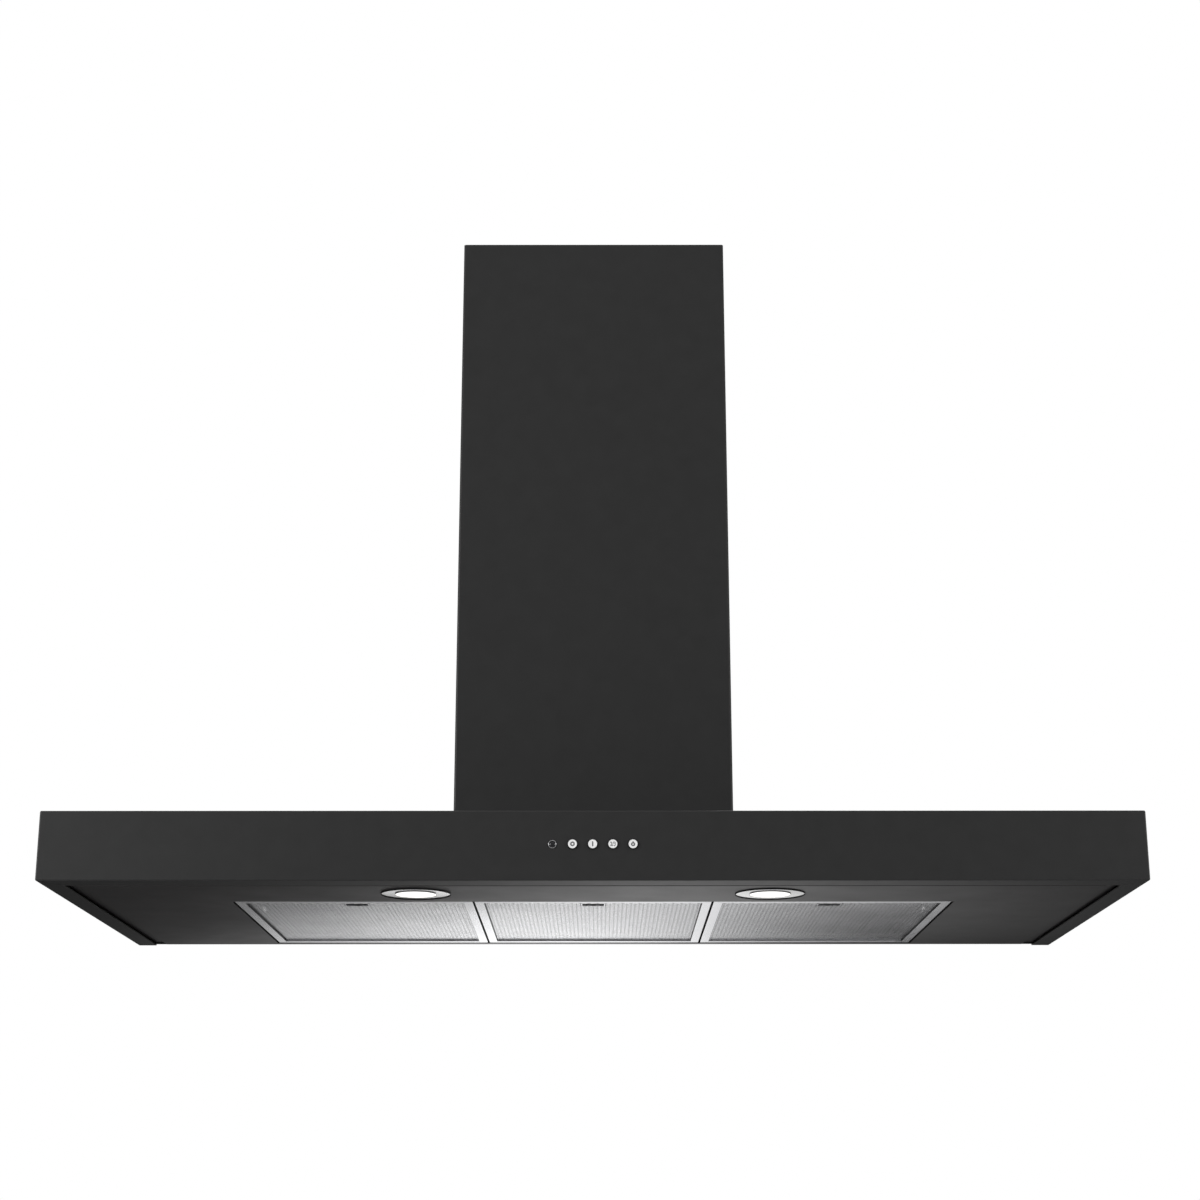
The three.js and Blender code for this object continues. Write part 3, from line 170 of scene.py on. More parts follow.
def ramp(
    tree: bpy.types.NodeTree, value: bpy.types.NodeSocket, *ends: float, **more: object
) -> bpy.types.NodeSocket:
    """Adds a Map Range node from two values to two others, and returns its output."""
    given = {f"in{i + 1}": end for i, end in enumerate(ends)}
    return add_node(tree, "MapRange", Value=value, **more, **given).outputs[0]


class NodeGroup:
    """A shader node group under construction, with named inputs and outputs."""

    def __init__(self, name: str, inputs: dict[str, object], outputs: dict[str, str]) -> None:
        """Starts a group.

        Args:
            name: the group's name.
            inputs: each input's name, and what it holds where nothing is linked to it.
            outputs: each output's name and kind.
        """
        self.tree = bpy.data.node_groups.new(name, "ShaderNodeTree")
        outside = self.tree.interface
        for key, value in inputs.items():
            kind = "Float" if isinstance(value, float) else "Color" if len(value) == 4 else "Vector"
            made = outside.new_socket(key, in_out="INPUT", socket_type=f"NodeSocket{kind}")
            made.default_value = value
        for key, kind in outputs.items():
            outside.new_socket(key, in_out="OUTPUT", socket_type=f"NodeSocket{kind}")
        self.given = self.tree.nodes.new("NodeGroupInput").outputs

    def finish(self, **outputs: bpy.types.NodeSocket) -> bpy.types.NodeTree:
        """Links the outputs by name, and returns the group's tree."""
        feed(self.tree, self.tree.nodes.new("NodeGroupOutput"), **outputs)
        return self.tree


@cache
def surface_group() -> bpy.types.NodeTree:
    """Builds the group that gives a finish its cloudy tone, its gloss changes and its fine relief.

    Returns:
        The group, with outputs Colour, Roughness and Normal.
    """
    inputs = {
        "Colour": (0.5, 0.5, 0.5, 1.0), "Stretch": (1.0, 1.0, 1.0), "Cloud Scale": 12.0,
        "Grain Scale": 900.0, "Tone Spread": 0.1, "Roughness": 0.4, "Roughness Spread": 0.1,
        "Relief": 0.1, "Relief Depth": 0.0001,
    }
    outputs = {"Colour": "Color", "Roughness": "Float", "Normal": "Vector"}
    group = NodeGroup("surface_structure", inputs, outputs)
    tree, given = group.tree, group.given
    place = add_node(tree, "TexCoord").outputs["Object"]
    stretched = vector_maths(tree, "MULTIPLY", in0=place, in1=given["Stretch"])
    cloud = add_node(tree, "TexNoise", Vector=place, Scale=given["Cloud Scale"], Detail=4.0)
    grain = add_node(tree, "TexNoise", Vector=stretched, Scale=given["Grain Scale"], Detail=3.0)
    both = maths(tree, "ADD", cloud.outputs[0], grain.outputs[0])
    centred = maths(tree, "SUBTRACT", both, 1.0)
    tone = maths(tree, "MULTIPLY_ADD", centred, given["Tone Spread"], 1.0)
    gloss = (given["Roughness Spread"], given["Roughness"])
    relief = add_node(
        tree, "Bump", Strength=given["Relief"], Distance=given["Relief Depth"],
        Height=grain.outputs[0],
    )
    return group.finish(
        Colour=vector_maths(tree, "SCALE", in0=given["Colour"], Scale=tone),
        Roughness=maths(tree, "MULTIPLY_ADD", centred, *gloss, use_clamp=True),
        Normal=relief.outputs[0],
    )


@cache
def spangle_group() -> bpy.types.NodeTree:
    """Builds the group that gives hot-dip zinc its crystal patches.

    Returns:
        The group, with output Tone, a factor round 1 for colour.
    """
    wander_scale, wander_reach = 60.0, 0.012
    group = NodeGroup("zinc_spangle", {"Scale": 70.0, "Spread": 0.3}, {"Tone": "Float"})
    tree, given = group.tree, group.given
    place = add_node(tree, "TexCoord").outputs["Object"]
    wander = add_node(tree, "TexNoise", Vector=place, Scale=wander_scale, Detail=2.0)
    push = vector_maths(tree, "SCALE", in0=wander.outputs["Color"], Scale=wander_reach)
    moved = vector_maths(tree, "ADD", in0=place, in1=push)
    crystal = add_node(tree, "TexVoronoi", Vector=moved, Scale=given["Scale"])
    split = add_node(tree, "SeparateColor", Color=crystal.outputs["Color"])
    centred = maths(tree, "SUBTRACT", split.outputs[0], 0.5)
    return group.finish(Tone=maths(tree, "MULTIPLY_ADD", centred, given["Spread"], 1.0))


@dataclass(frozen=True)
class Finish:
    """A surface finish: what it is made of, how it shines and what its fine structure is.

    The colour is linear red, green and blue.
    """

    name: str
    slot: Slot
    colour: Point
    roughness: float = 0.4
    metallic: float = 0.0
    specular: float = 0.5
    grain: Grain = Grain.EVEN
    cloud_scale: float = 12.0
    grain_scale: float = 900.0
    tone_spread: float = 0.12
    roughness_spread: float = 0.12
    relief: float = 0.12
    relief_depth: float = 0.00005
    spangle: float = 0.0
    spangle_scale: float = 70.0
    glow: float = 0.0

    @cache
    def material(self) -> bpy.types.Material:
        """The finish as a material, made when it is first asked for.

        Returns:
            The material.
        """
        made = bpy.data.materials.new(self.name)
        made.use_nodes = True
        tree = made.node_tree
        surface = add_node(
            tree, "Group", node_tree=surface_group(), Colour=(*self.colour, 1.0),
            Stretch=self.grain.value, Cloud_Scale=self.cloud_scale, Grain_Scale=self.grain_scale,
            Tone_Spread=self.tone_spread, Roughness=self.roughness,
            Roughness_Spread=self.roughness_spread, Relief=self.relief,
            Relief_Depth=self.relief_depth,
        ).outputs
        colour = surface["Colour"]
        if self.spangle:
            zinc = add_node(
                tree, "Group", node_tree=spangle_group(), Scale=self.spangle_scale,
                Spread=self.spangle,
            )
            colour = vector_maths(tree, "SCALE", in0=colour, Scale=zinc.outputs["Tone"])
        shader = feed(
            tree, tree.nodes["Principled BSDF"], Base_Color=colour, Roughness=surface["Roughness"],
            Normal=surface["Normal"], Metallic=self.metallic, Specular_IOR_Level=self.specular,
        )
        if self.glow:
            feed(tree, shader, Emission_Strength=self.glow, Emission_Color=surface["Colour"])
        return made


ENAMEL = Finish(
    "satin_black_enamel", Slot.ENAMEL, (0.019, 0.019, 0.019), roughness=0.46, specular=0.32,
    cloud_scale=60.0, grain_scale=1400.0, tone_spread=0.28, roughness_spread=0.06,
)
PANEL = Finish(
    "glossy_black_panel", Slot.PANEL, (0.0135, 0.012, 0.0125), roughness=0.42, specular=0.42,
    cloud_scale=20.0, tone_spread=0.25, relief=0.08,
)
FRAME_X = Finish(
    "brushed_aluminium_across", Slot.FRAME, (0.83, 0.83, 0.85), roughness=0.28, metallic=1.0,
    grain=Grain.ALONG_X, grain_scale=1600.0, relief=0.1,
)
FRAME_Y = Finish(
    "brushed_aluminium_along", Slot.FRAME, (0.83, 0.83, 0.85), roughness=0.28, metallic=1.0,
    grain=Grain.ALONG_Y, grain_scale=1600.0, relief=0.1,
)
NET = Finish(
    "expanded_aluminium", Slot.NET, (0.81, 0.81, 0.83), roughness=0.22, metallic=1.0,
    grain_scale=700.0,
)
# Painted shade: the second net is the first net's aluminium, painted far darker as the shade behind
# the front net.
SHADED_MEDIA = Finish("inner_net", Slot.NET, (0.3, 0.3, 0.31), metallic=1.0, grain_scale=700.0)
CHROME = Finish(
    "satin_chrome", Slot.CHROME, (0.9, 0.9, 0.9), roughness=0.14, metallic=1.0, relief=0.05,
    roughness_spread=0.06,
)
SILVER = Finish(
    "button_silver", Slot.BUTTON, (0.96, 0.96, 0.96), roughness=0.38, metallic=0.1, relief=0.08,
)
LENS = Finish(
    "frosted_lens", Slot.LENS, (1.0, 0.99, 0.96), roughness=0.5, glow=1.1, grain_scale=500.0,
    tone_spread=0.04,
)
PILOT = Finish("pilot_lens", Slot.PILOT, (0.012, 0.012, 0.014), roughness=0.12, relief=0.03)
BLACK = Finish(
    "black_plastic", Slot.BLACK, (0.014, 0.014, 0.015), roughness=0.55, specular=0.4,
    grain_scale=1500.0, relief=0.3, tone_spread=0.25,
)
WHITE = Finish(
    "white_plastic", Slot.WHITE, (0.68, 0.68, 0.65), roughness=0.45, grain_scale=1500.0, relief=0.2,
    tone_spread=0.05,
)
ZINC = Finish(
    "galvanised_steel", Slot.ZINC, (0.44, 0.45, 0.46), roughness=0.42, metallic=1.0, spangle=0.45,
    grain_scale=600.0,
)
STEEL = Finish("zinc_plated_fastener", Slot.STEEL, (0.5, 0.51, 0.52), roughness=0.3, metallic=1.0)
# Painted shade: a near-black finish on the filter channels' outer walls and beside the side bars'
# inner edges, standing in for the shade in the gaps between filters and between bar and net.
PAINTED_GAP_SHADE = Finish(
    "blackened_edge", Slot.FRAME, (0.012, 0.012, 0.012), roughness=0.6, specular=0.15,
    grain_scale=1200.0, relief=0.2, tone_spread=0.3,
)
# Smoked chrome for the pilot light's ring, and painted shade on the lamp bezels' collars.
SMOKED_CHROME_AND_SHADE = Finish(
    "smoked_chrome", Slot.CHROME, (0.5, 0.5, 0.51), roughness=0.3, metallic=1.0, relief=0.05,
)
# Painted shade: black on the lamp bezels' outer lips, for the dark arc at their edge.
PAINTED_LIP_SHADE = Finish(
    "rubber_seal", Slot.BLACK, (0.01, 0.01, 0.01), roughness=0.7, specular=0.2, grain_scale=1300.0,
    relief=0.2,
)
CAST = Finish(
    "cast_aluminium", Slot.ZINC, (0.62, 0.63, 0.64), roughness=0.5, metallic=1.0,
    grain_scale=1100.0, relief=0.3,
)
FLAP = Finish(
    "pressed_aluminium", Slot.FRAME, (0.8, 0.81, 0.82), roughness=0.36, metallic=1.0,
    grain=Grain.ALONG_X, grain_scale=1400.0,
)
PRINT = Finish(
    "printed_sign", Slot.BLACK, (0.14, 0.14, 0.145), roughness=0.5, relief=0.05, tone_spread=0.2,
)


# ---------- stage ----------


def new_object(name: str, bm: bmesh.types.BMesh) -> bpy.types.Object:
    """Puts a mesh in the making, which ends here, into the scene as an object."""
    mesh = bpy.data.meshes.new(name)
    bm.to_mesh(mesh)
    bm.free()
    made = bpy.data.objects.new(name, mesh)
    bpy.context.scene.collection.objects.link(made)
    return made


@dataclass(frozen=True)
class Lamp:
    """A soft rectangular lamp: its middle, what it faces, its width and height, and its watts."""

    name: str
    place: Point
    aim: Point
    size: Span
    power: float

    def hang(self) -> None:
        """Hangs the lamp."""
        data = bpy.data.lights.new(self.name, "AREA")
        data.shape = "RECTANGLE"
        data.size, data.size_y = self.size
        data.energy = self.power
        lamp = bpy.data.objects.new(self.name, data)
        lamp.location = self.place
        way = Vector(self.aim) - Vector(self.place)
        lamp.rotation_euler = way.to_track_quat("-Z", "Y").to_euler()
        bpy.context.scene.collection.objects.link(lamp)


@dataclass
class Stage:
    """The studio: camera, white background, soft lamps, pale floor and two reflection cards.

    A glow is a bell of brightness: its peak, its middle, and its widths below and above that. A
    ramp is two heights and the brightness at each.
    """

    camera_place: Point = (0.0071, -2.6113, -0.6029)
    camera_pitch: float = 16.39
    camera_roll: float = 0.023
    lens: float = 64.52
    sensor: float = 36.0
    ambient: float = 0.27
    floor_height: float = -1.6
    floor_radius: float = 60.0
    floor_lift: float = 0.5
    floor_tone: Four = (0.0, 1.0, 0.8, 0.86)
    floor_fade: Span = (22.0, 50.0)
    surround_radius: float = 6.0
    surround_top: float = 4.0
    surround_glow: Four = (0.5, 0.6, 0.5, 1.1)
    surround_rest: float = 0.04
    glow_y: float = 0.18
    glow_x: Span = (-1.6, 1.6)
    glow_z: Span = (-1.2, -0.272)
    glow_rest: float = 0.05
    glow_under_filters: Four = (1.7, -0.07, 0.23, 0.18)
    glow_under_panel: Four = (1.15, 0.12, 0.15, 0.27)
    filters_ramp: Four = (-0.35, -0.3, 0.72, 1.05)
    panel_ramp: Four = (-0.385, -0.365, 0.8, 1.0)
    panel_to_filters: Span = (-0.372, -0.35)
    low_ramp: Four = (-0.75, -0.45, 0.2, 1.0)
    lamps: tuple[Lamp, ...] = (
        Lamp("key_lamp", (-3.4, -3.0, 0.55), (0.0, -0.3, 0.0), (2.2, 1.4), 108.0),
        Lamp("fill_lamp", (3.6, -2.8, 0.45), (0.0, -0.3, 0.0), (2.0, 1.2), 62.0),
        Lamp("back_lamp", (0.4, 2.2, 2.0), (0.0, -0.2, 0.2), (1.4, 1.4), 20.0),
    )

    def build(self) -> None:
        """Makes the whole stage."""
        self.make_camera()
        self.make_world()
        self.make_floor()
        self.make_surround()
        self.make_glow_card()
        for lamp in self.lamps:
            lamp.hang()

    def make_camera(self) -> None:
        """Sets the camera where the picture was taken from."""
        data = bpy.data.cameras.new("camera")
        data.lens = self.lens
        data.sensor_width = self.sensor
        data.clip_end = 200.0
        camera = bpy.data.objects.new("camera", data)
        camera.location = self.camera_place
        tilt = math.radians(90.0 + self.camera_pitch)
        camera.rotation_euler = (tilt, math.radians(self.camera_roll), 0.0)
        bpy.context.scene.collection.objects.link(camera)
        bpy.context.scene.camera = camera

    def make_world(self) -> None:
        """Makes the background white to the camera, metal and glass, and softer as a light."""
        world = bpy.data.worlds.new("studio")
        world.use_nodes = True
        bpy.context.scene.world = world
        tree = world.node_tree
        tree.nodes.clear()
        path = add_node(tree, "LightPath").outputs
        seen = maths(tree, "MAXIMUM", path["Is Camera Ray"], path["Is Glossy Ray"])
        clear = maths(tree, "MAXIMUM", seen, path["Is Transmission Ray"])
        soft, white = (
            add_node(tree, "Background", Color=(1, 1, 1, 1), Strength=strength).outputs[0]
            for strength in (self.ambient, 1.0)
        )
        mixed = add_node(tree, "MixShader", in0=clear, in1=soft, in2=white)
        add_node(tree, "OutputWorld", Surface=mixed.outputs[0], is_active_output=True)

    def make_floor(self) -> None:
        """Lays the pale floor, which is open from below and fades out far away."""
        bm = bmesh.new()
        bmesh.ops.create_circle(bm, cap_ends=True, segments=96, radius=self.floor_radius)
        bmesh.ops.translate(bm, verts=bm.verts, vec=(0.0, 0.0, self.floor_height))
        floor = new_object("floor", bm)
        made = bpy.data.materials.new("pale_floor")
        made.use_nodes = True
        tree = made.node_tree
        seen = add_node(tree, "LightPath").outputs["Is Camera Ray"]
        place = add_node(tree, "TexCoord").outputs["Object"]
        cloud = add_node(tree, "TexNoise", Vector=place, Scale=3.0, Detail=3.0)
        shader = feed(
            tree, tree.nodes["Principled BSDF"], Roughness=0.9, Specular_IOR_Level=0.0,
            Emission_Strength=maths(tree, "MULTIPLY", seen, self.floor_lift),
            Base_Color=ramp(tree, cloud.outputs[0], *self.floor_tone),
        )
        far = add_node(tree, "VectorMath", operation="LENGTH", in0=place).outputs["Value"]
        fade = ramp(tree, far, *self.floor_fade, interpolation_type="SMOOTHSTEP")
        behind = add_node(tree, "NewGeometry").outputs["Backfacing"]
        mixed = add_node(
            tree, "MixShader", in0=maths(tree, "MAXIMUM", fade, behind), in1=shader.outputs[0],
            in2=add_node(tree, "BsdfTransparent").outputs[0],
        )
        feed(tree, tree.nodes["Material Output"], Surface=mixed.outputs[0])
        floor.data.materials.append(made)

    def reflected(self, bm: bmesh.types.BMesh, name: str) -> bpy.types.NodeTree:
        """Sets up a card that only glossy and clear surfaces see.

        Args:
            bm: the card's mesh, which ends here.
            name: the card's name.

        Returns:
            The nodes of the card's material, none yet.
        """
        card = new_object(name, bm)
        for way in ("camera", "diffuse", "shadow", "volume_scatter"):
            setattr(card, f"visible_{way}", False)
        made = bpy.data.materials.new(name)
        made.use_nodes = True
        made.node_tree.nodes.clear()
        card.data.materials.append(made)
        return made.node_tree

    def shine(
        self, tree: bpy.types.NodeTree, brightness: bpy.types.NodeSocket, rest: float
    ) -> None:
        """Makes a card shine with a brightness on top of what it has everywhere."""
        glow = add_node(tree, "Emission", Strength=maths(tree, "ADD", brightness, rest))
        add_node(tree, "OutputMaterial", Surface=glow.outputs[0])

    def make_surround(self) -> None:
        """Stands a dim grey screen round the studio, for the black surfaces to reflect."""
        bm = bmesh.new()
        bmesh.ops.create_cone(
            bm, cap_ends=False, segments=96, radius1=self.surround_radius,
            radius2=self.surround_radius, depth=self.surround_top - self.floor_height,
        )
        rise = (self.surround_top + self.floor_height) / 2
        bmesh.ops.translate(bm, verts=bm.verts, vec=(0.0, 0.0, rise))
        tree = self.reflected(bm, "surround_screen")
        place = add_node(tree, "TexCoord").outputs["Object"]
        height = add_node(tree, "SeparateXYZ", Vector=place).outputs["Z"]
        self.shine(tree, self.bell(tree, height, *self.surround_glow), self.surround_rest)

    def bell(
        self, tree: bpy.types.NodeTree, along: bpy.types.NodeSocket, peak: float, centre: float,
        below: float, above: float,
    ) -> bpy.types.NodeSocket:
        """Adds nodes for a bell-shaped brightness with different slopes on its two sides.

        Args:
            tree: the card's nodes.
            along: the place on the axis that it changes along.
            peak: the brightness in the middle.
            centre: where the middle is.
            below: how wide the bell is below its middle.
            above: and above it.

        Returns:
            The brightness.
        """
        blend = 0.03
        off = maths(tree, "SUBTRACT", along, centre)
        share = maths(tree, "DIVIDE", off, ramp(tree, off, -blend, blend, below, above))
        half = maths(tree, "MULTIPLY", maths(tree, "MULTIPLY", share, share), -0.5)
        return maths(tree, "MULTIPLY", maths(tree, "EXPONENT", half), peak)

    def make_glow_card(self) -> None:
        """Stands a card behind and below the hood, bright in the middle, for its underside."""
        bm = bmesh.new()
        bmesh.ops.create_grid(bm, x_segments=1, y_segments=1, size=0.5)
        bmesh.ops.rotate(bm, verts=bm.verts, matrix=Matrix.Rotation(math.radians(90.0), 3, "X"))
        (left, right), (low, high) = self.glow_x, self.glow_z
        bmesh.ops.scale(bm, verts=bm.verts, vec=(right - left, 1.0, high - low))
        middle = ((left + right) / 2, self.glow_y, (low + high) / 2)
        bmesh.ops.translate(bm, verts=bm.verts, vec=middle)
        tree = self.reflected(bm, "glow_card")
        place = add_node(tree, "TexCoord").outputs["Object"]
        split = add_node(tree, "SeparateXYZ", Vector=place).outputs
        filters = (self.glow_under_filters, self.filters_ramp)
        panel = (self.glow_under_panel, self.panel_ramp)
        near, far = (
            maths(tree, "MULTIPLY", self.bell(tree, split["X"], *glow), ramp(tree, split["Z"], *at))
            for glow, at in (filters, panel)
        )
        zone = ramp(tree, split["Z"], *self.panel_to_filters)
        mixed = add_node(tree, "Mix", Factor=zone, in2=far, in3=near).outputs[0]
        low_part = ramp(tree, split["Z"], *self.low_ramp)
        self.shine(tree, maths(tree, "MULTIPLY", mixed, low_part), self.glow_rest)


# ---------- shaping ----------

UPRIGHT = Matrix.Identity(4)
SIDEWAYS = Matrix.Rotation(math.radians(90.0), 4, "Y")  # turns a shape's own Z to X
LEFTWARD = Matrix.Rotation(math.radians(-90.0), 4, "Y")  # to -X
REARWARD = Matrix.Rotation(math.radians(-90.0), 4, "X")  # to Y
ACROSS = Matrix(((0, 0, 1, 0), (1, 0, 0, 0), (0, 1, 0, 0), (0, 0, 0, 1)))  # X, Y, Z to Y, Z, X
ASTERN = Matrix.Rotation(math.radians(90.0), 4, "X")  # X, Y, Z to X, Z, -Y
ORIGIN = (0.0, 0.0, 0.0)
WAYS = (-1, 1)  # to the left and to the right
HANDS = {"left": -1, "right": 1}


def around(middle: float, size: float) -> Span:
    """The span of a size round its middle."""
    return (middle - size / 2, middle + size / 2)


def stepped(across: float, up: float, *moves: Span) -> list[Span]:
    """Corners of a section, each so many millimetres from a place on its two axes."""
    return [(across + a * MM, up + b * MM) for a, b in moves]


def arc_angles(start: float, end: float, steps: int) -> list[float]:
    """Angles in radians from one in degrees to another, in equal steps."""
    return [math.radians(start + (end - start) * i / steps) for i in range(steps + 1)]


def arc(middle: Span, radius: float, start: float, end: float, steps: int) -> list[Span]:
    """Points of an arc round a middle, from one angle in degrees to another."""
    turns = arc_angles(start, end, steps)
    return [(middle[0] + radius * math.cos(a), middle[1] + radius * math.sin(a)) for a in turns]


def middle_of(node: str) -> Vector:
    """The middle of a node's box."""
    low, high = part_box(node)
    return (low + high) / 2


def front_of(node: str) -> Point:
    """The middle of the front of a node's box."""
    low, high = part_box(node)
    return ((low.x + high.x) / 2, low.y, (low.z + high.z) / 2)


def verts_of(geom: Iterable) -> list:
    """The vertices among the parts of a mesh."""
    return [part for part in geom if isinstance(part, bmesh.types.BMVert)]


class Shape:
    """A piece's mesh in the making, in metres and in the row frame."""

    def __init__(self) -> None:
        """Starts with an empty mesh."""
        self.bm = bmesh.new()

    @property
    def whole(self) -> list:
        """All its vertices, edges and faces."""
        return self.bm.verts[:] + self.bm.edges[:] + self.bm.faces[:]

    def put(self, verts: Iterable, turn: Matrix, place: Sequence[float]) -> Shape:
        """Turns some vertices about the origin, and moves that to a place."""
        bmesh.ops.transform(self.bm, matrix=Matrix.Translation(place) @ turn, verts=verts)
        return self

    def move(self, place: Sequence[float], turn: Matrix = UPRIGHT) -> Shape:
        """Turns and moves the whole shape."""
        return self.put(self.bm.verts, turn, place)

    def block(self, x: Span, y: Span, z: Span) -> Shape:
        """Adds a block between two values on each axis."""
        verts = bmesh.ops.create_cube(self.bm, size=1.0)["verts"]
        spans = (x, y, z)
        bmesh.ops.scale(self.bm, vec=[b - a for a, b in spans], verts=verts)
        return self.put(verts, UPRIGHT, [(a + b) / 2 for a, b in spans])

    def flat(self, width: float, depth: float, middle: Sequence[float]) -> Shape:
        """Makes one level face."""
        bmesh.ops.create_grid(self.bm, x_segments=1, y_segments=1, size=0.5)
        bmesh.ops.scale(self.bm, vec=(width, depth, 1.0), verts=self.bm.verts)
        bmesh.ops.translate(self.bm, vec=middle, verts=self.bm.verts)
        return self

    def rod(
        self, radius: float, span: Span, turn: Matrix = UPRIGHT, place: Sequence[float] = ORIGIN,
        steps: int = 48, far_radius: float | None = None,
    ) -> Shape:
        """Adds a round rod or cone.

        Args:
            radius: its radius.
            span: where it starts and ends along its axis.
            turn: turns the axis from Z.
            place: where the axis' origin goes.
            steps: facets round it.
            far_radius: its radius at the far end, if that differs.

        Returns:
            The shape.
        """
        made = bmesh.ops.create_cone(
            self.bm, cap_ends=True, segments=steps, radius1=radius,
            radius2=radius if far_radius is None else far_radius, depth=span[1] - span[0],
        )
        middle = Matrix.Translation((0.0, 0.0, (span[0] + span[1]) / 2))
        return self.put(made["verts"], turn @ middle, place)

    def turned(
        self, profile: Sequence[Span], turn: Matrix = UPRIGHT, place: Sequence[float] = ORIGIN,
        steps: int = 96, closed: bool = False,
    ) -> Shape:
        """Adds a turned solid.

        Args:
            profile: radius and height of each corner of its section.
            turn: turns the axis from Z.
            place: where the axis' origin goes.
            steps: facets round it.
            closed: True for a ring, whose last corner joins its first.

        Returns:
            The shape.
        """
        before = set(self.bm.verts)
        verts = [self.bm.verts.new((radius, 0.0, height)) for radius, height in profile]
        pairs = list(zip(verts, verts[1:])) + ([(verts[-1], verts[0])] if closed else [])
        edges = [self.bm.edges.new(pair) for pair in pairs]
        bmesh.ops.spin(
            self.bm, geom=verts + edges, cent=ORIGIN, axis=(0.0, 0.0, 1.0), angle=2 * math.pi,
            steps=steps, use_merge=True,
        )
        added = [v for v in self.bm.verts if v not in before]
        bmesh.ops.remove_doubles(self.bm, verts=added, dist=1e-6)
        added = [v for v in self.bm.verts if v not in before]
        faces = {f for v in added for f in v.link_faces}
        bmesh.ops.recalc_face_normals(self.bm, faces=list(faces))
        return self.put(added, turn, place)

    def prism(
        self, outline: Sequence[Span], span: Span, turn: Matrix = UPRIGHT,
        place: Sequence[float] = ORIGIN,
    ) -> Shape:
        """Adds a solid with a flat outline, drawn from one height to another.

        Args:
            outline: its corners on X and Y.
            span: its lower and upper height.
            turn: turns it from there.
            place: where the origin then goes.

        Returns:
            The shape.
        """
        verts = [self.bm.verts.new((x, y, span[0])) for x, y in outline]
        face = self.bm.faces.new(verts)
        top = verts_of(bmesh.ops.extrude_face_region(self.bm, geom=[face])["geom"])
        bmesh.ops.translate(self.bm, vec=(0.0, 0.0, span[1] - span[0]), verts=top)
        faces = {f for v in verts + top for f in v.link_faces}
        bmesh.ops.recalc_face_normals(self.bm, faces=list(faces))
        return self.put(verts + top, turn, place)

    def folded(self, line: Sequence[Point], run: Sequence[float]) -> Shape:
        """Adds a surface: a line of corners drawn along a run."""
        verts = [self.bm.verts.new(point) for point in line]
        edges = [self.bm.edges.new(pair) for pair in zip(verts, verts[1:])]
        moved = verts_of(bmesh.ops.extrude_edge_only(self.bm, edges=edges)["geom"])
        bmesh.ops.translate(self.bm, vec=run, verts=moved)
        return self

    def faces(self, where: Test) -> list:
        """The faces whose middle answers True."""
        return [f for f in self.bm.faces if where(f.calc_center_median())]

    def open(self, where: Test) -> Shape:
        """Takes out the faces whose middle answers True."""
        bmesh.ops.delete(self.bm, geom=self.faces(where), context="FACES")
        return self

    def paint(self, index: int, where: Test = lambda _: True) -> Shape:
        """Gives the faces whose middle answers True another of the piece's finishes."""
        for face in self.faces(where):
            face.material_index = index
        return self

    def edges(
        self, where: Callable[[Vector, Vector], bool] | None = None, angle: float = 30.0
    ) -> list:
        """Finds the edges at which the surface turns.

        Args:
            where: takes an edge's middle and direction, and says whether it counts.
            angle: the least turn, in degrees.

        Returns:
            The edges.
        """
        self.bm.normal_update()
        found = []
        for edge in self.bm.edges:
            if len(edge.link_faces) != 2 or edge.calc_face_angle() < math.radians(angle):
                continue
            a, b = (v.co for v in edge.verts)
            if where is None or where((a + b) / 2, (b - a).normalized()):
                found.append(edge)
        return found

    def along(self, axis: str) -> list:
        """The edges that run along an axis."""
        index = "XYZ".index(axis)
        return self.edges(lambda _, run: abs(run[index]) > 0.9)

    def round(self, edges: list, radius: float, steps: int = 3) -> Shape:
        """Rounds edges by a radius."""
        bmesh.ops.bevel(
            self.bm, geom=edges, offset=radius, offset_type="OFFSET", segments=steps, profile=0.5,
            affect="EDGES", clamp_overlap=True, material=-1,
        )
        return self

    def facing(self, way: Sequence[float]) -> Shape:
        """Turns a surface's faces so that the farthest one along a way looks that way."""
        bmesh.ops.recalc_face_normals(self.bm, faces=self.bm.faces)
        out = Vector(way)
        side_on = [f for f in self.bm.faces if abs(f.normal.dot(out)) > 0.5]
        farthest = max(side_on, key=lambda f: f.calc_center_median().dot(out))
        if farthest.normal.dot(out) < 0:
            bmesh.ops.reverse_faces(self.bm, faces=self.bm.faces)
        return self

    def thicken(self, wall: float) -> Shape:
        """Gives the surface a wall on the side that its faces look away from."""
        bmesh.ops.solidify(self.bm, geom=self.bm.faces[:], thickness=wall)
        return self

    def score(self, axis: str, at: float, where: Test = lambda _: True) -> Shape:
        """Cuts a line into the faces whose middle answers True, at one value on an axis."""
        way = Vector([float(axis == name) for name in "XYZ"])
        faces = self.faces(where)
        geom = {*faces, *(e for f in faces for e in f.edges), *(v for f in faces for v in f.verts)}
        bmesh.ops.bisect_plane(self.bm, geom=list(geom), dist=1e-7, plane_co=way * at, plane_no=way)
        return self

    def trim(self, point: Sequence[float], outward: Sequence[float], cap: bool = False) -> Shape:
        """Cuts off what lies beyond a plane.

        Args:
            point: a point of the plane.
            outward: its normal, towards what goes.
            cap: True to close the cut.

        Returns:
            The shape.
        """
        made = bmesh.ops.bisect_plane(
            self.bm, geom=self.whole, dist=1e-7, plane_co=point, plane_no=outward, clear_outer=True,
        )
        if cap:
            rim = [g for g in made["geom_cut"] if isinstance(g, bmesh.types.BMEdge)]
            bmesh.ops.contextual_create(self.bm, geom=rim)
        return self

    def add(self, other: Shape) -> Shape:
        """Takes in another shape's mesh beside its own."""
        mesh = bpy.data.meshes.new("added")
        other.bm.to_mesh(mesh)
        other.bm.free()
        self.bm.from_mesh(mesh)
        bpy.data.meshes.remove(mesh)
        return self

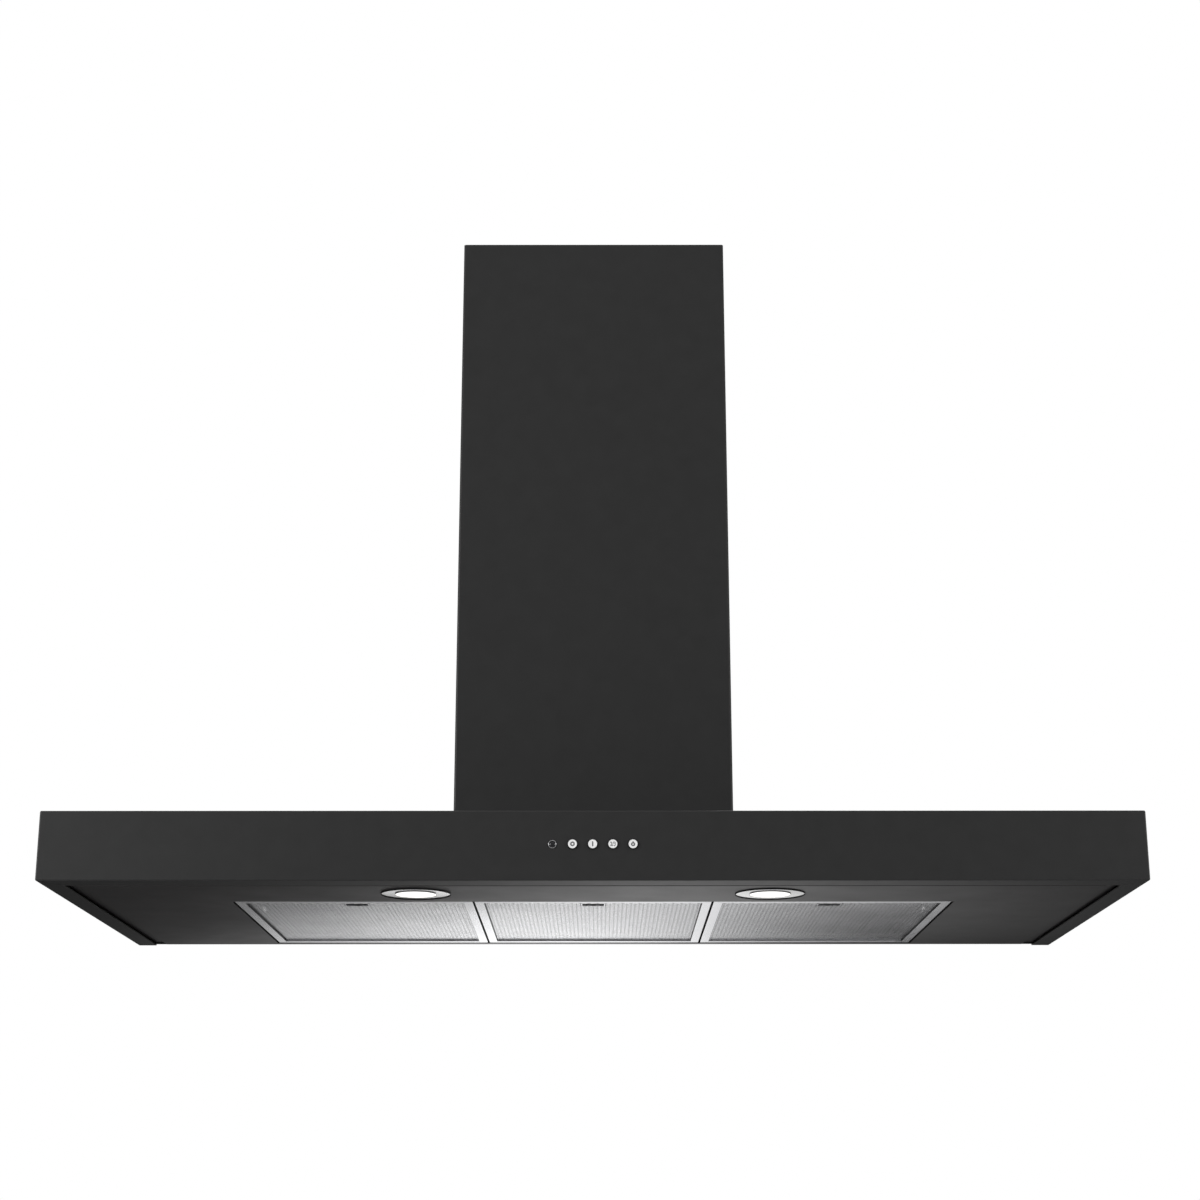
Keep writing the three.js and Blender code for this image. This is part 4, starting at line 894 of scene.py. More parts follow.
    def copy_turned(self, count: int, axis: str, place: Sequence[float]) -> Shape:
        """Repeats the whole shape round an axis.

        Args:
            count: how many there are in the end.
            axis: the axis, X, Y or Z.
            place: a point of the axis.

        Returns:
            The shape.
        """
        first = self.whole
        turn = Matrix.Rotation(2 * math.pi / count, 4, axis)
        to_axis = Matrix.Translation([-c for c in place])
        step = UPRIGHT
        for _ in range(count - 1):
            step = step @ turn
            verts = verts_of(bmesh.ops.duplicate(self.bm, geom=first)["geom"])
            whole = Matrix.Translation(place) @ step @ to_axis
            bmesh.ops.transform(self.bm, matrix=whole, verts=verts)
        return self


def hole(
    radius: float, place: Sequence[float], turn: Matrix = UPRIGHT, reach: float = 5 * MM
) -> Shape:
    """A round cutting tool: its radius, its middle, its turn from Z and its reach each way."""
    return Shape().rod(radius, (-reach, reach), turn, place, 40)


def slot(x: Span, y: Span, z: Span, axis: str, radius: float) -> Shape:
    """A cutting tool for a slot along an axis: its three spans, and the radius of its corners."""
    tool = Shape().block(x, y, z)
    return tool.round(tool.along(axis), radius, 5)


def expanded_sheet(
    x: Span, y: Span, height: float, long: float, short: float, strand: float, across: bool = True
) -> Shape:
    """Slit and stretched sheet: a flat net of diamond openings, before it has a thickness.

    Args:
        x: its span on X.
        y: its span on Y.
        height: where it lies.
        long: the diamonds' long way.
        short: their short way.
        strand: the width of half a strand.
        across: True where the long way runs along X.

    Returns:
        The net's surface, which faces down.
    """
    shape = Shape()
    bm = shape.bm
    steps = (long, short) if across else (short, long)
    cells = math.ceil((x[1] - x[0]) / steps[0] + (y[1] - y[0]) / steps[1]) + 2
    bmesh.ops.create_grid(bm, x_segments=cells, y_segments=cells, size=cells / 2)
    shape.move(ORIGIN, Matrix.Rotation(math.radians(45.0), 4, "Z"))
    diagonal = math.sqrt(2.0)
    bmesh.ops.scale(bm, vec=(steps[0] / diagonal, steps[1] / diagonal, 1.0), verts=bm.verts)
    bmesh.ops.rotate(bm, matrix=Matrix.Rotation(math.pi, 3, "X"), verts=bm.verts)
    middle = ((x[0] + x[1]) / 2, (y[0] + y[1]) / 2, height)
    bmesh.ops.translate(bm, vec=middle, verts=bm.verts)
    reach = ((x[1] - x[0]) / 2 + long, (y[1] - y[0]) / 2 + long)
    far = [v for v in bm.verts if any(abs(v.co[i] - middle[i]) > reach[i] for i in (0, 1))]
    bmesh.ops.delete(bm, geom=far, context="VERTS")
    openings = bm.faces[:]
    bmesh.ops.inset_individual(bm, faces=openings, thickness=strand)
    bmesh.ops.delete(bm, geom=openings, context="FACES")
    for end, way in enumerate(WAYS):
        shape.trim((x[end], 0, 0), (way, 0, 0))
    for end, way in enumerate(WAYS):
        shape.trim((0, y[end], 0), (0, way, 0))
    return shape


def settle(piece: bpy.types.Object) -> None:
    """Turns what a piece's modifiers make into its own mesh."""
    graph = bpy.context.evaluated_depsgraph_get()
    made = bpy.data.meshes.new_from_object(piece.evaluated_get(graph), depsgraph=graph)
    old, name = piece.data, piece.data.name
    piece.modifiers.clear()
    piece.data = made
    bpy.data.meshes.remove(old)
    made.name = name


@dataclass
class Workshop:
    """Turns shapes into finished pieces and hands them to the frame."""

    frame: dict
    edge: float = 0.2 * MM  # how far a cut sheet's edges are rounded
    edge_angle: float = 40.0
    smooth_angle: float = 38.0

    def combine(self, piece: bpy.types.Object, how: str, others: Iterable[Shape]) -> None:
        """Cuts shapes out of a piece, or joins them to it.

        Args:
            piece: the piece.
            how: DIFFERENCE or UNION.
            others: the shapes.
        """
        tools = [new_object("tool", other.bm) for other in others]
        if not tools:
            return
        for tool in tools:
            step = piece.modifiers.new(how.lower(), "BOOLEAN")
            step.operation = how
            step.solver = "EXACT"
            step.object = tool
        settle(piece)
        for tool in tools:
            mesh = tool.data
            bpy.data.objects.remove(tool)
            bpy.data.meshes.remove(mesh)

    def soften(self, piece: bpy.types.Object, radius: float) -> None:
        """Rounds a piece's sharp edges, unless the radius is 0, and shades its rounds smooth."""
        if radius:
            bevel = piece.modifiers.new("edges", "BEVEL")
            bevel.width = radius
            bevel.segments = 2
            bevel.limit_method = "ANGLE"
            bevel.angle_limit = math.radians(self.edge_angle)
            settle(piece)
        piece.data.shade_smooth()
        piece.data.set_sharp_from_angle(angle=math.radians(self.smooth_angle))
        piece.modifiers.new("shading", "WEIGHTED_NORMAL").keep_sharp = True
        settle(piece)

    def deliver(
        self, shape: Shape, name: str, node: str, *finishes: Finish, joins: Iterable[Shape] = (),
        cuts: Iterable[Shape] = (), late_joins: Iterable[Shape] = (),
        late_cuts: Iterable[Shape] = (), edge: float | None = None,
    ) -> None:
        """Finishes a shape as a piece that stands for a node of the frame.

        Args:
            shape: the shape.
            name: the piece's name.
            node: the node that it replaces and rides with.
            *finishes: its finishes, the main one first.
            joins: shapes joined to it.
            cuts: shapes cut out of it after that.
            late_joins: shapes joined to it then.
            late_cuts: shapes cut out of it last.
            edge: how far its edges are rounded, where the workshop's own radius is wrong.
        """
        piece = new_object(name, shape.bm)
        self.combine(piece, "UNION", joins)
        self.combine(piece, "DIFFERENCE", cuts)
        self.combine(piece, "UNION", late_joins)
        self.combine(piece, "DIFFERENCE", late_cuts)
        self.soften(piece, self.edge if edge is None else edge)
        for finish in finishes:
            piece.data.materials.append(finish.material())
        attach(piece, self.frame["nodes"][node]["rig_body"])
        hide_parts(node)
        LOG.info("%s: %d faces", piece.name, len(piece.data.polygons))

    def screw(self, node: str, turn: Matrix, place: Sequence[float], length: float) -> None:
        """Makes a pan-head screw with a cross recess and a thread.

        Args:
            node: the screw's node.
            turn: turns it from Z, which is where its shank points.
            place: the middle of the bearing face under its head.
            length: of its shank.
        """
        head, rise, core, thread, pitch = 4.0 * MM, 1.8 * MM, 1.6 * MM, 2.0 * MM, 0.7 * MM
        profile = stepped(0.0, -rise, (0, 0), (1.6, 0), (2.9, 0.25), (3.6, 0.7), (4.0, 1.3))
        profile += [(head, 0.0), (thread, 0.0), (thread, 0.4 * MM)]
        at = pitch
        while at < length - 0.9 * MM:
            profile += [(core, at), (thread, at + pitch / 2)]
            at += pitch
        profile += [(core, length - 0.3 * MM), (0.7 * core, length), (0.0, length)]
        recess = Shape()
        for x, y in ((1.7 * MM, 0.34 * MM), (0.34 * MM, 1.7 * MM)):
            recess.block((-x, x), (-y, y), (-rise - MM, -0.7 * MM))
        self.deliver(
            Shape().turned(profile, turn, place, 48), f"{node}_pan_head", node, STEEL,
            cuts=[recess.move(place, turn)], edge=0.05 * MM,
        )


@dataclass
class SubAssembly:
    """Something that the maker builds as one unit of several pieces."""

    shop: Workshop

    def build(self) -> None:
        """Makes every piece of the sub-assembly."""
        raise NotImplementedError


SIDES = ("left", "centre", "right")


class Mark(Enum):
    """What a control shows: signs as characters or rings, or the pilot light's lens."""

    PILOT = "pilot"
    OFF = "0"
    ONE = "1"
    MORE = "2/3"
    LAMP = "lamp"


@dataclass(frozen=True)
class Control:
    """One place in the row of controls."""

    node: str
    mark: Mark


CONTROLS = (
    Control("pilot_lens", Mark.PILOT), Control("button_off", Mark.OFF),
    Control("button_speed_1", Mark.ONE), Control("button_speed_2", Mark.MORE),
    Control("button_light", Mark.LAMP),
)


# ---------- canopy ----------


@dataclass
class Canopy(SubAssembly):
    """The folded box of enamelled steel, and the recessed panel under it."""

    sheet: float = 1.0 * MM
    fold: float = 1.6 * MM
    side_rim: float = 21.5 * MM
    front_rim: float = 32.0 * MM
    seam: float = 0.35 * MM
    control_hole: float = 5.3 * MM
    pilot_hole: float = 4.4 * MM
    screw_hole: float = 2.3 * MM
    air_opening: tuple[Span, Span] = ((-0.122, 0.122), (-0.249, -0.022))
    wall_hole_x: float = 0.4
    wall_hole: float = 4.0 * MM
    opening: tuple[Span, Span] = ((-0.38025, 0.38025), (-0.3495, -0.0135))
    joggle: tuple[float, float] = (12.0 * MM, 2.5 * MM)
    lamp_hole: float = 29.3 * MM
    tongue_slot: tuple[float, Span] = (6.6 * MM, (-0.2655, -0.2623))

    def build(self) -> None:
        """Makes the canopy and its panel."""
        self.make_body()
        self.make_panel()

    def control_holes(self) -> list[Shape]:
        """The holes in the fascia for the buttons and the pilot light."""
        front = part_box("canopy_body")[0].y
        tools = []
        for control in CONTROLS:
            middle = middle_of(control.node)
            radius = self.pilot_hole if control.mark is Mark.PILOT else self.control_hole
            tools.append(hole(radius, (middle.x, front, middle.z), REARWARD))
        return tools

    def corner_seams(self) -> list[Shape]:
        """The fine welded seams where the front rim meets the side rims."""
        low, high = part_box("canopy_body")
        tools = []
        for side in WAYS:
            outer = Vector((side * high.x, low.y, low.z))
            inner = outer + Vector((-side * self.side_rim, self.front_rim, 0.0))
            run = inner - outer
            section = around(0.0, self.seam)
            tool = Shape().block(around(0.0, run.length * 1.02), section, section)
            turn = Matrix.Rotation(math.atan2(run.y, run.x), 4, "Z")
            tools.append(tool.move((outer + inner) / 2, turn))
        return tools

    def make_body(self) -> None:
        """Makes the box: top, fascia, sides and rear wall, with rims turned in below."""
        low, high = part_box("canopy_body")
        shape = Shape().block(*zip(low, high))
        rim_x, rim_y, under = high.x - self.side_rim, low.y + self.front_rim, low.z + self.sheet
        for axis, value in (("X", -rim_x), ("X", rim_x), ("Y", rim_y)):
            shape.score(axis, value, lambda at: at.z < under)
        shape.open(lambda at: at.z < under and abs(at.x) < rim_x and at.y > rim_y)
        shape.facing((0, 0, 1)).round(shape.edges(), self.fold, 4).thicken(self.sheet)
        tools = [slot(*self.air_opening, around(high.z, 10 * MM), "Z", 8 * MM)]
        for i in range(4):
            screw = middle_of(f"fan_box_screw_{i + 1}")
            tools.append(hole(self.screw_hole, (screw.x, screw.y, high.z)))
        half_way = (low.z + high.z) / 2
        for side in WAYS:
            x = side * self.wall_hole_x
            tools.append(hole(self.wall_hole, (x, 0.0, half_way), REARWARD))
            neck, rise = around(x, self.wall_hole), (half_way, half_way + 3 * self.wall_hole)
            tools.append(slot(neck, around(0.0, 10 * MM), rise, "Y", 0.45 * self.wall_hole))
        tools += self.control_holes() + self.corner_seams()
        self.shop.deliver(shape, "canopy_shell", "canopy_body", ENAMEL, cuts=tools)

    def make_panel(self) -> None:
        """Makes the recessed panel: joggled over the rims, and hemmed round the filters."""
        low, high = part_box("filter_panel")
        body_low, body_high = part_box("canopy_body")
        middle = (0.0, (low.y + high.y) / 2, low.z)
        shape = Shape().flat(high.x - low.x, high.y - low.y, middle)
        bm = shape.bm
        (left, right), (front, rear) = self.opening
        inset, rise = self.joggle
        slope, lift = 0.4 * rise, 0.3 * rise
        wide = body_high.x - self.side_rim - inset
        fore = body_low.y + self.front_rim + inset
        for x in (left, right, -wide, wide, -wide - slope, wide + slope):
            shape.score("X", x)
        for y in (front, rear, fore, fore - slope):
            shape.score("Y", y)
        border = [v for v in bm.verts if abs(v.co.x) > wide + lift or v.co.y < fore - lift]
        bmesh.ops.translate(bm, vec=(0.0, 0.0, rise), verts=border)
        window = shape.faces(lambda at: abs(at.x) < right and front < at.y < rear)
        last = rear - self.sheet
        rim = [e for f in window for e in f.edges if (e.verts[0].co + e.verts[1].co).y / 2 < last]
        bmesh.ops.delete(bm, geom=window, context="FACES_ONLY")
        raised = verts_of(bmesh.ops.extrude_edge_only(bm, edges=rim)["geom"])
        bmesh.ops.translate(bm, vec=(0.0, 0.0, high.z - low.z), verts=raised)
        shape.facing((0, 0, -1))
        creases = shape.edges(lambda at, _: abs(at.x) > wide - MM or at.y < fore + MM)
        shape.round(creases, 0.45 * rise, 3)
        shape.round(shape.edges(angle=60.0), self.fold, 4).thicken(self.sheet)
        tools = []
        for side in HANDS:
            lamp = middle_of(f"lamp_lens_{side}")
            tools.append(hole(self.lamp_hole, (lamp.x, lamp.y, low.z)))
        half, rise = self.tongue_slot
        for side in SIDES:
            x = middle_of(f"filter_frame_{side}").x
            tools.append(slot((x - half, x + half), around(front, 8 * MM), rise, "Y", 0.4 * MM))
        self.shop.deliver(shape, "recessed_panel", "filter_panel", PANEL, cuts=tools)


# ---------- grease filters ----------


class Side(Enum):
    """The four bars of a filter's channel: turn in degrees, and place from -1 to 1 on X and Y."""

    FRONT = (0.0, 0, -1)
    REAR = (180.0, 0, 1)
    LEFT = (-90.0, -1, 0)
    RIGHT = (90.0, 1, 0)


@dataclass
class GreaseFilter(SubAssembly):
    """One lift-out filter: mitred channel, expanded nets and a sprung latch."""

    side: str = "centre"
    channel: float = 0.8 * MM
    lip: float = 10.0 * MM
    hem: float = 2.0 * MM
    # How wide a band of foot beside the side bars' inner edge is painted black as shade.
    bead: float = 0.35 * MM
    mitre_gap: float = 0.08 * MM
    tab_length: float = 9.0 * MM
    tab_x: float = 85.0 * MM
    tab_width: float = 20.0 * MM
    net: Point = (9.0 * MM, 6.0 * MM, 1.25 * MM)  # the diamonds' two ways, and half a strand
    net_wall: float = 0.12 * MM
    net_inset: float = 0.55 * MM
    window_rim: float = 1.5 * MM
    media: Point = (9.0 * MM, 5.2 * MM, 0.8 * MM)
    media_wall: float = 0.18 * MM
    waves: int = 16
    grip: Span = (22.7 * MM, 8.5 * MM)
    grip_from_front: float = 32.0 * MM
    grip_depth: float = 3.2 * MM
    travel: float = 6.0 * MM

    def build(self) -> None:
        """Makes the filter's four pieces."""
        low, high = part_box(f"filter_frame_{self.side}")
        self.low, self.high = low, high - Vector((0.0, self.tab_length, 0.0))
        self.x = (low.x + high.x) / 2
        self.grip_y = self.low.y + self.grip_from_front
        self.make_frame()
        self.make_net()
        self.make_media()
        self.make_latch()

    def bar(self, length: float, across: bool) -> Shape:
        """One bar of the channel, hemmed and mitred, with its outer side painted black as shade.

        Args:
            length: its outer length.
            across: True for the front and rear bars, and False for the side bars, whose hem's inner
            face and a thin band of foot beside it are painted black as shade too.

        Returns:
            The bar along X, with its outer face at y = 0 and its foot at z = 0.
        """
        wall, lip, height = self.channel, self.lip, self.high.z - self.low.z
        # On the side bars, a corner where the band painted black as shade starts on the foot.
        bead = [] if across else [(lip - self.bead, 0.0)]
        outline = [
            (0.0, 0.0), *bead, (lip, 0.0), (lip, self.hem), (lip - wall, self.hem),
            (lip - wall, wall), (wall, wall), (wall, height - wall), (lip, height - wall),
            (lip, height), (0.0, height),
        ]
        shape = Shape().prism(outline, around(0.0, length), ACROSS)
        inner = [e for e in shape.along("X") if e.verts[0].co.y >= wall / 2]
        shape.round(inner, 0.15 * wall, 2)
        outer = shape.edges(lambda at, run: abs(run.x) > 0.9 and at.y < wall / 2, 80.0)
        shape.round(outer, wall, 4)
        for end in WAYS:
            shape.trim((end * (length / 2 - self.mitre_gap), 0, 0), (end, 1, 0), cap=True)
        shape.paint(1 if across else 0)
        # Painted shade: the outer wall, facing the gap beside the next filter, gets the near-black
        # finish.
        shape.paint(2, lambda at: at.y < 0.45 * wall and at.z < height - wall)
        if not across:
            # Painted shade: a thin band of foot by the inner edge, and the hem's inner face, get
            # the near-black finish as the shade line between bar and net.
            shape.paint(2, lambda at: at.y > lip - self.bead and at.z < self.hem)
        return shape

    def make_frame(self) -> None:
        """Makes the channel of four mitred bars, with the tabs that carry its rear edge."""
        width, depth = self.high.x - self.low.x, self.high.y - self.low.y
        shape = Shape()
        for place in Side:
            bar = self.bar(*((depth, False) if place.value[1] else (width, True)))
            turn, x, y = place.value
            at = (self.x + x * width / 2, self.low.y + (y + 1) * depth / 2, self.low.z)
            shape.add(bar.move(at, Matrix.Rotation(math.radians(turn), 4, "Z")))
        tabs = []
        reach = (self.high.y - self.channel / 2, self.high.y + self.tab_length)
        for x in (self.x - self.tab_x, self.x + self.tab_x):
            rise = (self.low.z + 1.1 * MM, self.low.z + 2.1 * MM)
            tab = Shape().block(around(x, self.tab_width), reach, rise)
            end = tab.edges(lambda at, run: abs(run.z) > 0.9 and at.y > self.high.y)
            tabs.append(tab.round(end, 3 * MM, 4))
        rise = (self.low.z + 3.3 * MM, self.low.z + 5.9 * MM)
        depth = around(self.low.y, 3.2 * MM)
        cut = slot(around(self.x, 12.6 * MM), depth, rise, "Y", 0.5 * MM)
        self.shop.deliver(
            shape, f"filter_{self.side}_channel", f"filter_frame_{self.side}", FRAME_Y, FRAME_X,
            PAINTED_GAP_SHADE, joins=tabs, cuts=[cut], edge=0.12 * MM,
        )

    def make_net(self) -> None:
        """Makes the expanded net on the filter's face, with a framed window for the latch."""
        node = f"filter_net_{self.side}"
        low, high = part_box(node)
        foot, rim_width = low.z + self.net_inset, self.window_rim
        shape = expanded_sheet((low.x, high.x), (low.y, high.y), foot, *self.net)
        width, depth = self.grip
        left, right = around(self.x, width + 2 * rim_width)
        front = self.grip_y - depth / 2 - rim_width
        rear = self.grip_y + depth / 2 + self.travel + rim_width
        shape.open(lambda at: left < at.x < right and front < at.y < rear)
        shape.thicken(-self.net_wall)
        rim = Shape().flat(right - left, rear - front, (self.x, (front + rear) / 2, foot))
        face = rim.bm.faces[:]
        bmesh.ops.inset_individual(rim.bm, faces=face, thickness=rim_width)
        bmesh.ops.delete(rim.bm, geom=face, context="FACES")
        shape.add(rim.facing((0, 0, -1)).thicken(2 * self.net_wall))
        self.shop.deliver(shape, f"filter_{self.side}_net", node, NET, edge=0.0)

    def make_media(self) -> None:
        """Makes the second net, which is folded in waves and cut away round the latch."""
        node = f"filter_media_{self.side}"
        low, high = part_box(node)
        spans = (low.x, high.x), (low.y, high.y)
        shape = expanded_sheet(*spans, low.z, *self.media, across=False)
        left, right = around(self.x, 31 * MM)
        shape.open(lambda at: left < at.x < right and low.y - MM < at.y < low.y + 47.2 * MM)
        pitch = (high.x - low.x) / self.waves
        rise = high.z - low.z - self.media_wall
        for vert in shape.bm.verts:
            share = ((vert.co.x - low.x) / pitch) % 1.0
            vert.co.z = low.z + rise * (1.0 - math.cos(2 * math.pi * share)) / 2
        shape.thicken(-self.media_wall)
        # The second net's finish is painted darker as shade.
        self.shop.deliver(shape, f"filter_{self.side}_media", node, SHADED_MEDIA, edge=0.0)

    def make_latch(self) -> None:
        """Makes the sliding latch, with a ribbed pocket for a fingertip and a bevelled tongue."""
        node = f"filter_latch_{self.side}"
        low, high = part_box(node)
        head = low.y + 12.5 * MM
        shape = Shape().block((low.x, high.x), (head, high.y), (low.z, high.z))
        shape.round(shape.along("Z"), 2.5 * MM, 4)
        rise = (low.z + MM, low.z + 3 * MM)
        tongue = Shape().block(around(self.x, 12 * MM), (low.y, head + 2 * MM), rise)
        tip = tongue.edges(lambda at, _: at.y < low.y + MM and at.z < rise[0] + 0.5 * MM)
        tongue.round([e for e in tip if abs(e.verts[0].co.z - e.verts[1].co.z) < MM], 1.2 * MM, 2)
        width, depth = self.grip
        floor = low.z + self.grip_depth
        pocket = slot(
            around(self.x, width), around(self.grip_y, depth), (low.z - 2 * MM, floor), "Z",
            1.2 * MM,
        )
        ribs = []
        for i in (-1, 0, 1):
            y = around(self.grip_y + i * depth / 4, 0.7 * MM)
            rise = (floor - 0.6 * MM, floor + 0.4 * MM)
            ribs.append(Shape().block(around(self.x, width - 3 * MM), y, rise))
        name = f"filter_{self.side}_latch"
        self.shop.deliver(shape, name, node, BLACK, joins=[tongue], cuts=[pocket], late_joins=ribs)


# ---------- lamps ----------


@dataclass
class Downlight(SubAssembly):
    """One recessed lamp: bezel with spring tabs, frosted lens and finned heat sink."""

    side: str = "left"
    flange: float = 36.0 * MM
    # Where the bezel's outer lip starts; the lip's black finish is painted shade.
    seal: float = 35.5 * MM
    collar: float = 21.5 * MM
    lip: float = 20.7 * MM
    dish: Span = (0.95 * MM, 0.8 * MM)
    sleeve: Span = (27.5 * MM, 29.0 * MM)
    seat: float = 2.5 * MM
    glass: float = 20.55 * MM
    glass_edge: float = 0.75 * MM
    fins: int = 36

    def build(self) -> None:
        """Makes the lamp's three pieces."""
        low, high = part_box(f"lamp_bezel_{self.side}")
        self.foot, self.top = low.z, high.z
        self.place = ((low.x + high.x) / 2, (low.y + high.y) / 2, low.z)
        self.make_bezel()
        self.make_lens()
        self.make_body()

    def make_bezel(self) -> None:
        """Makes the dished ring, its outer lip, its sleeve and the springs that hold it up."""
        inner, outer = self.sleeve
        rise = self.top - self.foot
        deep, shallow = self.dish
        profile = [
            *stepped(self.lip, 0.0, (0, 0.25), (0.2, 0.05)),
            *stepped(self.collar, 0.0, (-0.2, 0.05), (0, 0.25)), (self.collar, deep),
            (self.seal, shallow), *stepped(self.seal, 0.0, (0, 0.1), (0.15, 0)),
            *stepped(self.flange, 0.0, (-0.15, 0), (0, 0.15), (0, 1.25)), (outer, 1.25 * MM),
            (outer, rise), (inner, rise), (inner, self.seat), (self.lip, self.seat),
        ]
        shape = Shape().turned(profile, UPRIGHT, self.place, 128, closed=True)
        bent = [
            ((inner + outer) / 2, rise - 3 * MM), (outer + 1.2 * MM, rise - 3 * MM),
            (outer + 2.2 * MM, 8 * MM), *stepped(self.flange, 0.0, (-1.8, 3.2), (-0.6, 3.2)),
        ]
        springs = []
        for way in WAYS:
            line = [(way * x, 5 * MM, z) for x, z in bent]
            spring = Shape().folded(line, (0.0, -10 * MM, 0.0)).facing((way, 0, 0))
            spring.round(spring.edges(), 0.9 * MM, 3).thicken(0.5 * MM)
            springs.append(spring.move(self.place))
        centre = Vector(self.place).to_2d()
        sill = self.foot + 1.2 * MM

        def within(low: float, high: float) -> Test:
            """A test for places near the ring's foot, between two radii."""
            return lambda at: low < (at.to_2d() - centre).length < high and at.z < sill

        # Painted shade: the outer lip gets the black finish, as the dark arc at the bezel's edge.
        shape.paint(1, within(self.seal - 0.1 * MM, self.flange + MM))
        # Painted shade: the collar and lip by the lens get the smoked finish, as the grey arc of
        # the recess.
        shape.paint(2, within(0.0, self.collar + 0.1 * MM))
        self.shop.deliver(
            shape, f"lamp_{self.side}_bezel", f"lamp_bezel_{self.side}", CHROME, PAINTED_LIP_SHADE, SMOKED_CHROME_AND_SHADE,
            joins=springs, edge=0.05 * MM,
        )

    def make_lens(self) -> None:
        """Makes the domed, frosted lens with its broader rim."""
        node = f"lamp_lens_{self.side}"
        low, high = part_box(node)
        foot = self.foot + 0.05 * MM
        rise, broad, face = high.z - foot, (high.x - low.x) / 2, self.glass
        rim, inside = rise - 2.2 * MM, rise - 0.9 * MM
        dome = [
            (face * math.sin(a), self.glass_edge * (1 - math.cos(a)) ** 2)
            for a in arc_angles(0, 88, 16)
        ]
        profile = [
            *dome, (face, rim), (broad, rim), (broad, rise), (0.86 * broad, rise),
            (0.8 * broad, inside), (0.0, inside),
        ]
        shape = Shape().turned(profile, UPRIGHT, (*self.place[:2], foot), 128)
        self.shop.deliver(shape, f"lamp_{self.side}_lens", node, LENS, edge=0.12 * MM)

    def make_body(self) -> None:
        """Makes the cast heat sink: a finned drum, a stem and two pierced discs."""
        node = f"lamp_body_{self.side}"
        low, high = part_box(node)
        radius, rise = (high.x - low.x) / 2, high.z - low.z
        drum = rise - 16 * MM
        discs = ((12, 0), (12, 4), (24, 4), (24, 8), (12, 8), (12, 12), (24, 12))
        profile = [
            (0.0, 0.0), (radius, 0.0), (radius, 2 * MM), (0.8 * radius, 3 * MM),
            (0.8 * radius, drum), *stepped(0.0, drum, *discs), (24 * MM, rise), (0.0, rise),
        ]
        x, y, z = place = (*self.place[:2], low.z)
        shape = Shape().turned(profile, UPRIGHT, place, 72)
        fins = Shape().block(
            (0.7 * radius, radius - 0.1 * MM), around(0.0, 1.5 * MM), (MM, drum - 0.2 * MM),
        )
        fins.move(place).copy_turned(self.fins, "Z", place)
        span = (drum + 2 * MM, rise + 2 * MM)
        holes = Shape().rod(2.4 * MM, span, UPRIGHT, (x + 18 * MM, y, z), 20)
        self.shop.deliver(
            shape, f"lamp_{self.side}_heat_sink", node, CAST, joins=[fins],
            cuts=[holes.copy_turned(8, "Z", place)], edge=0.25 * MM,
        )


# ---------- controls ----------


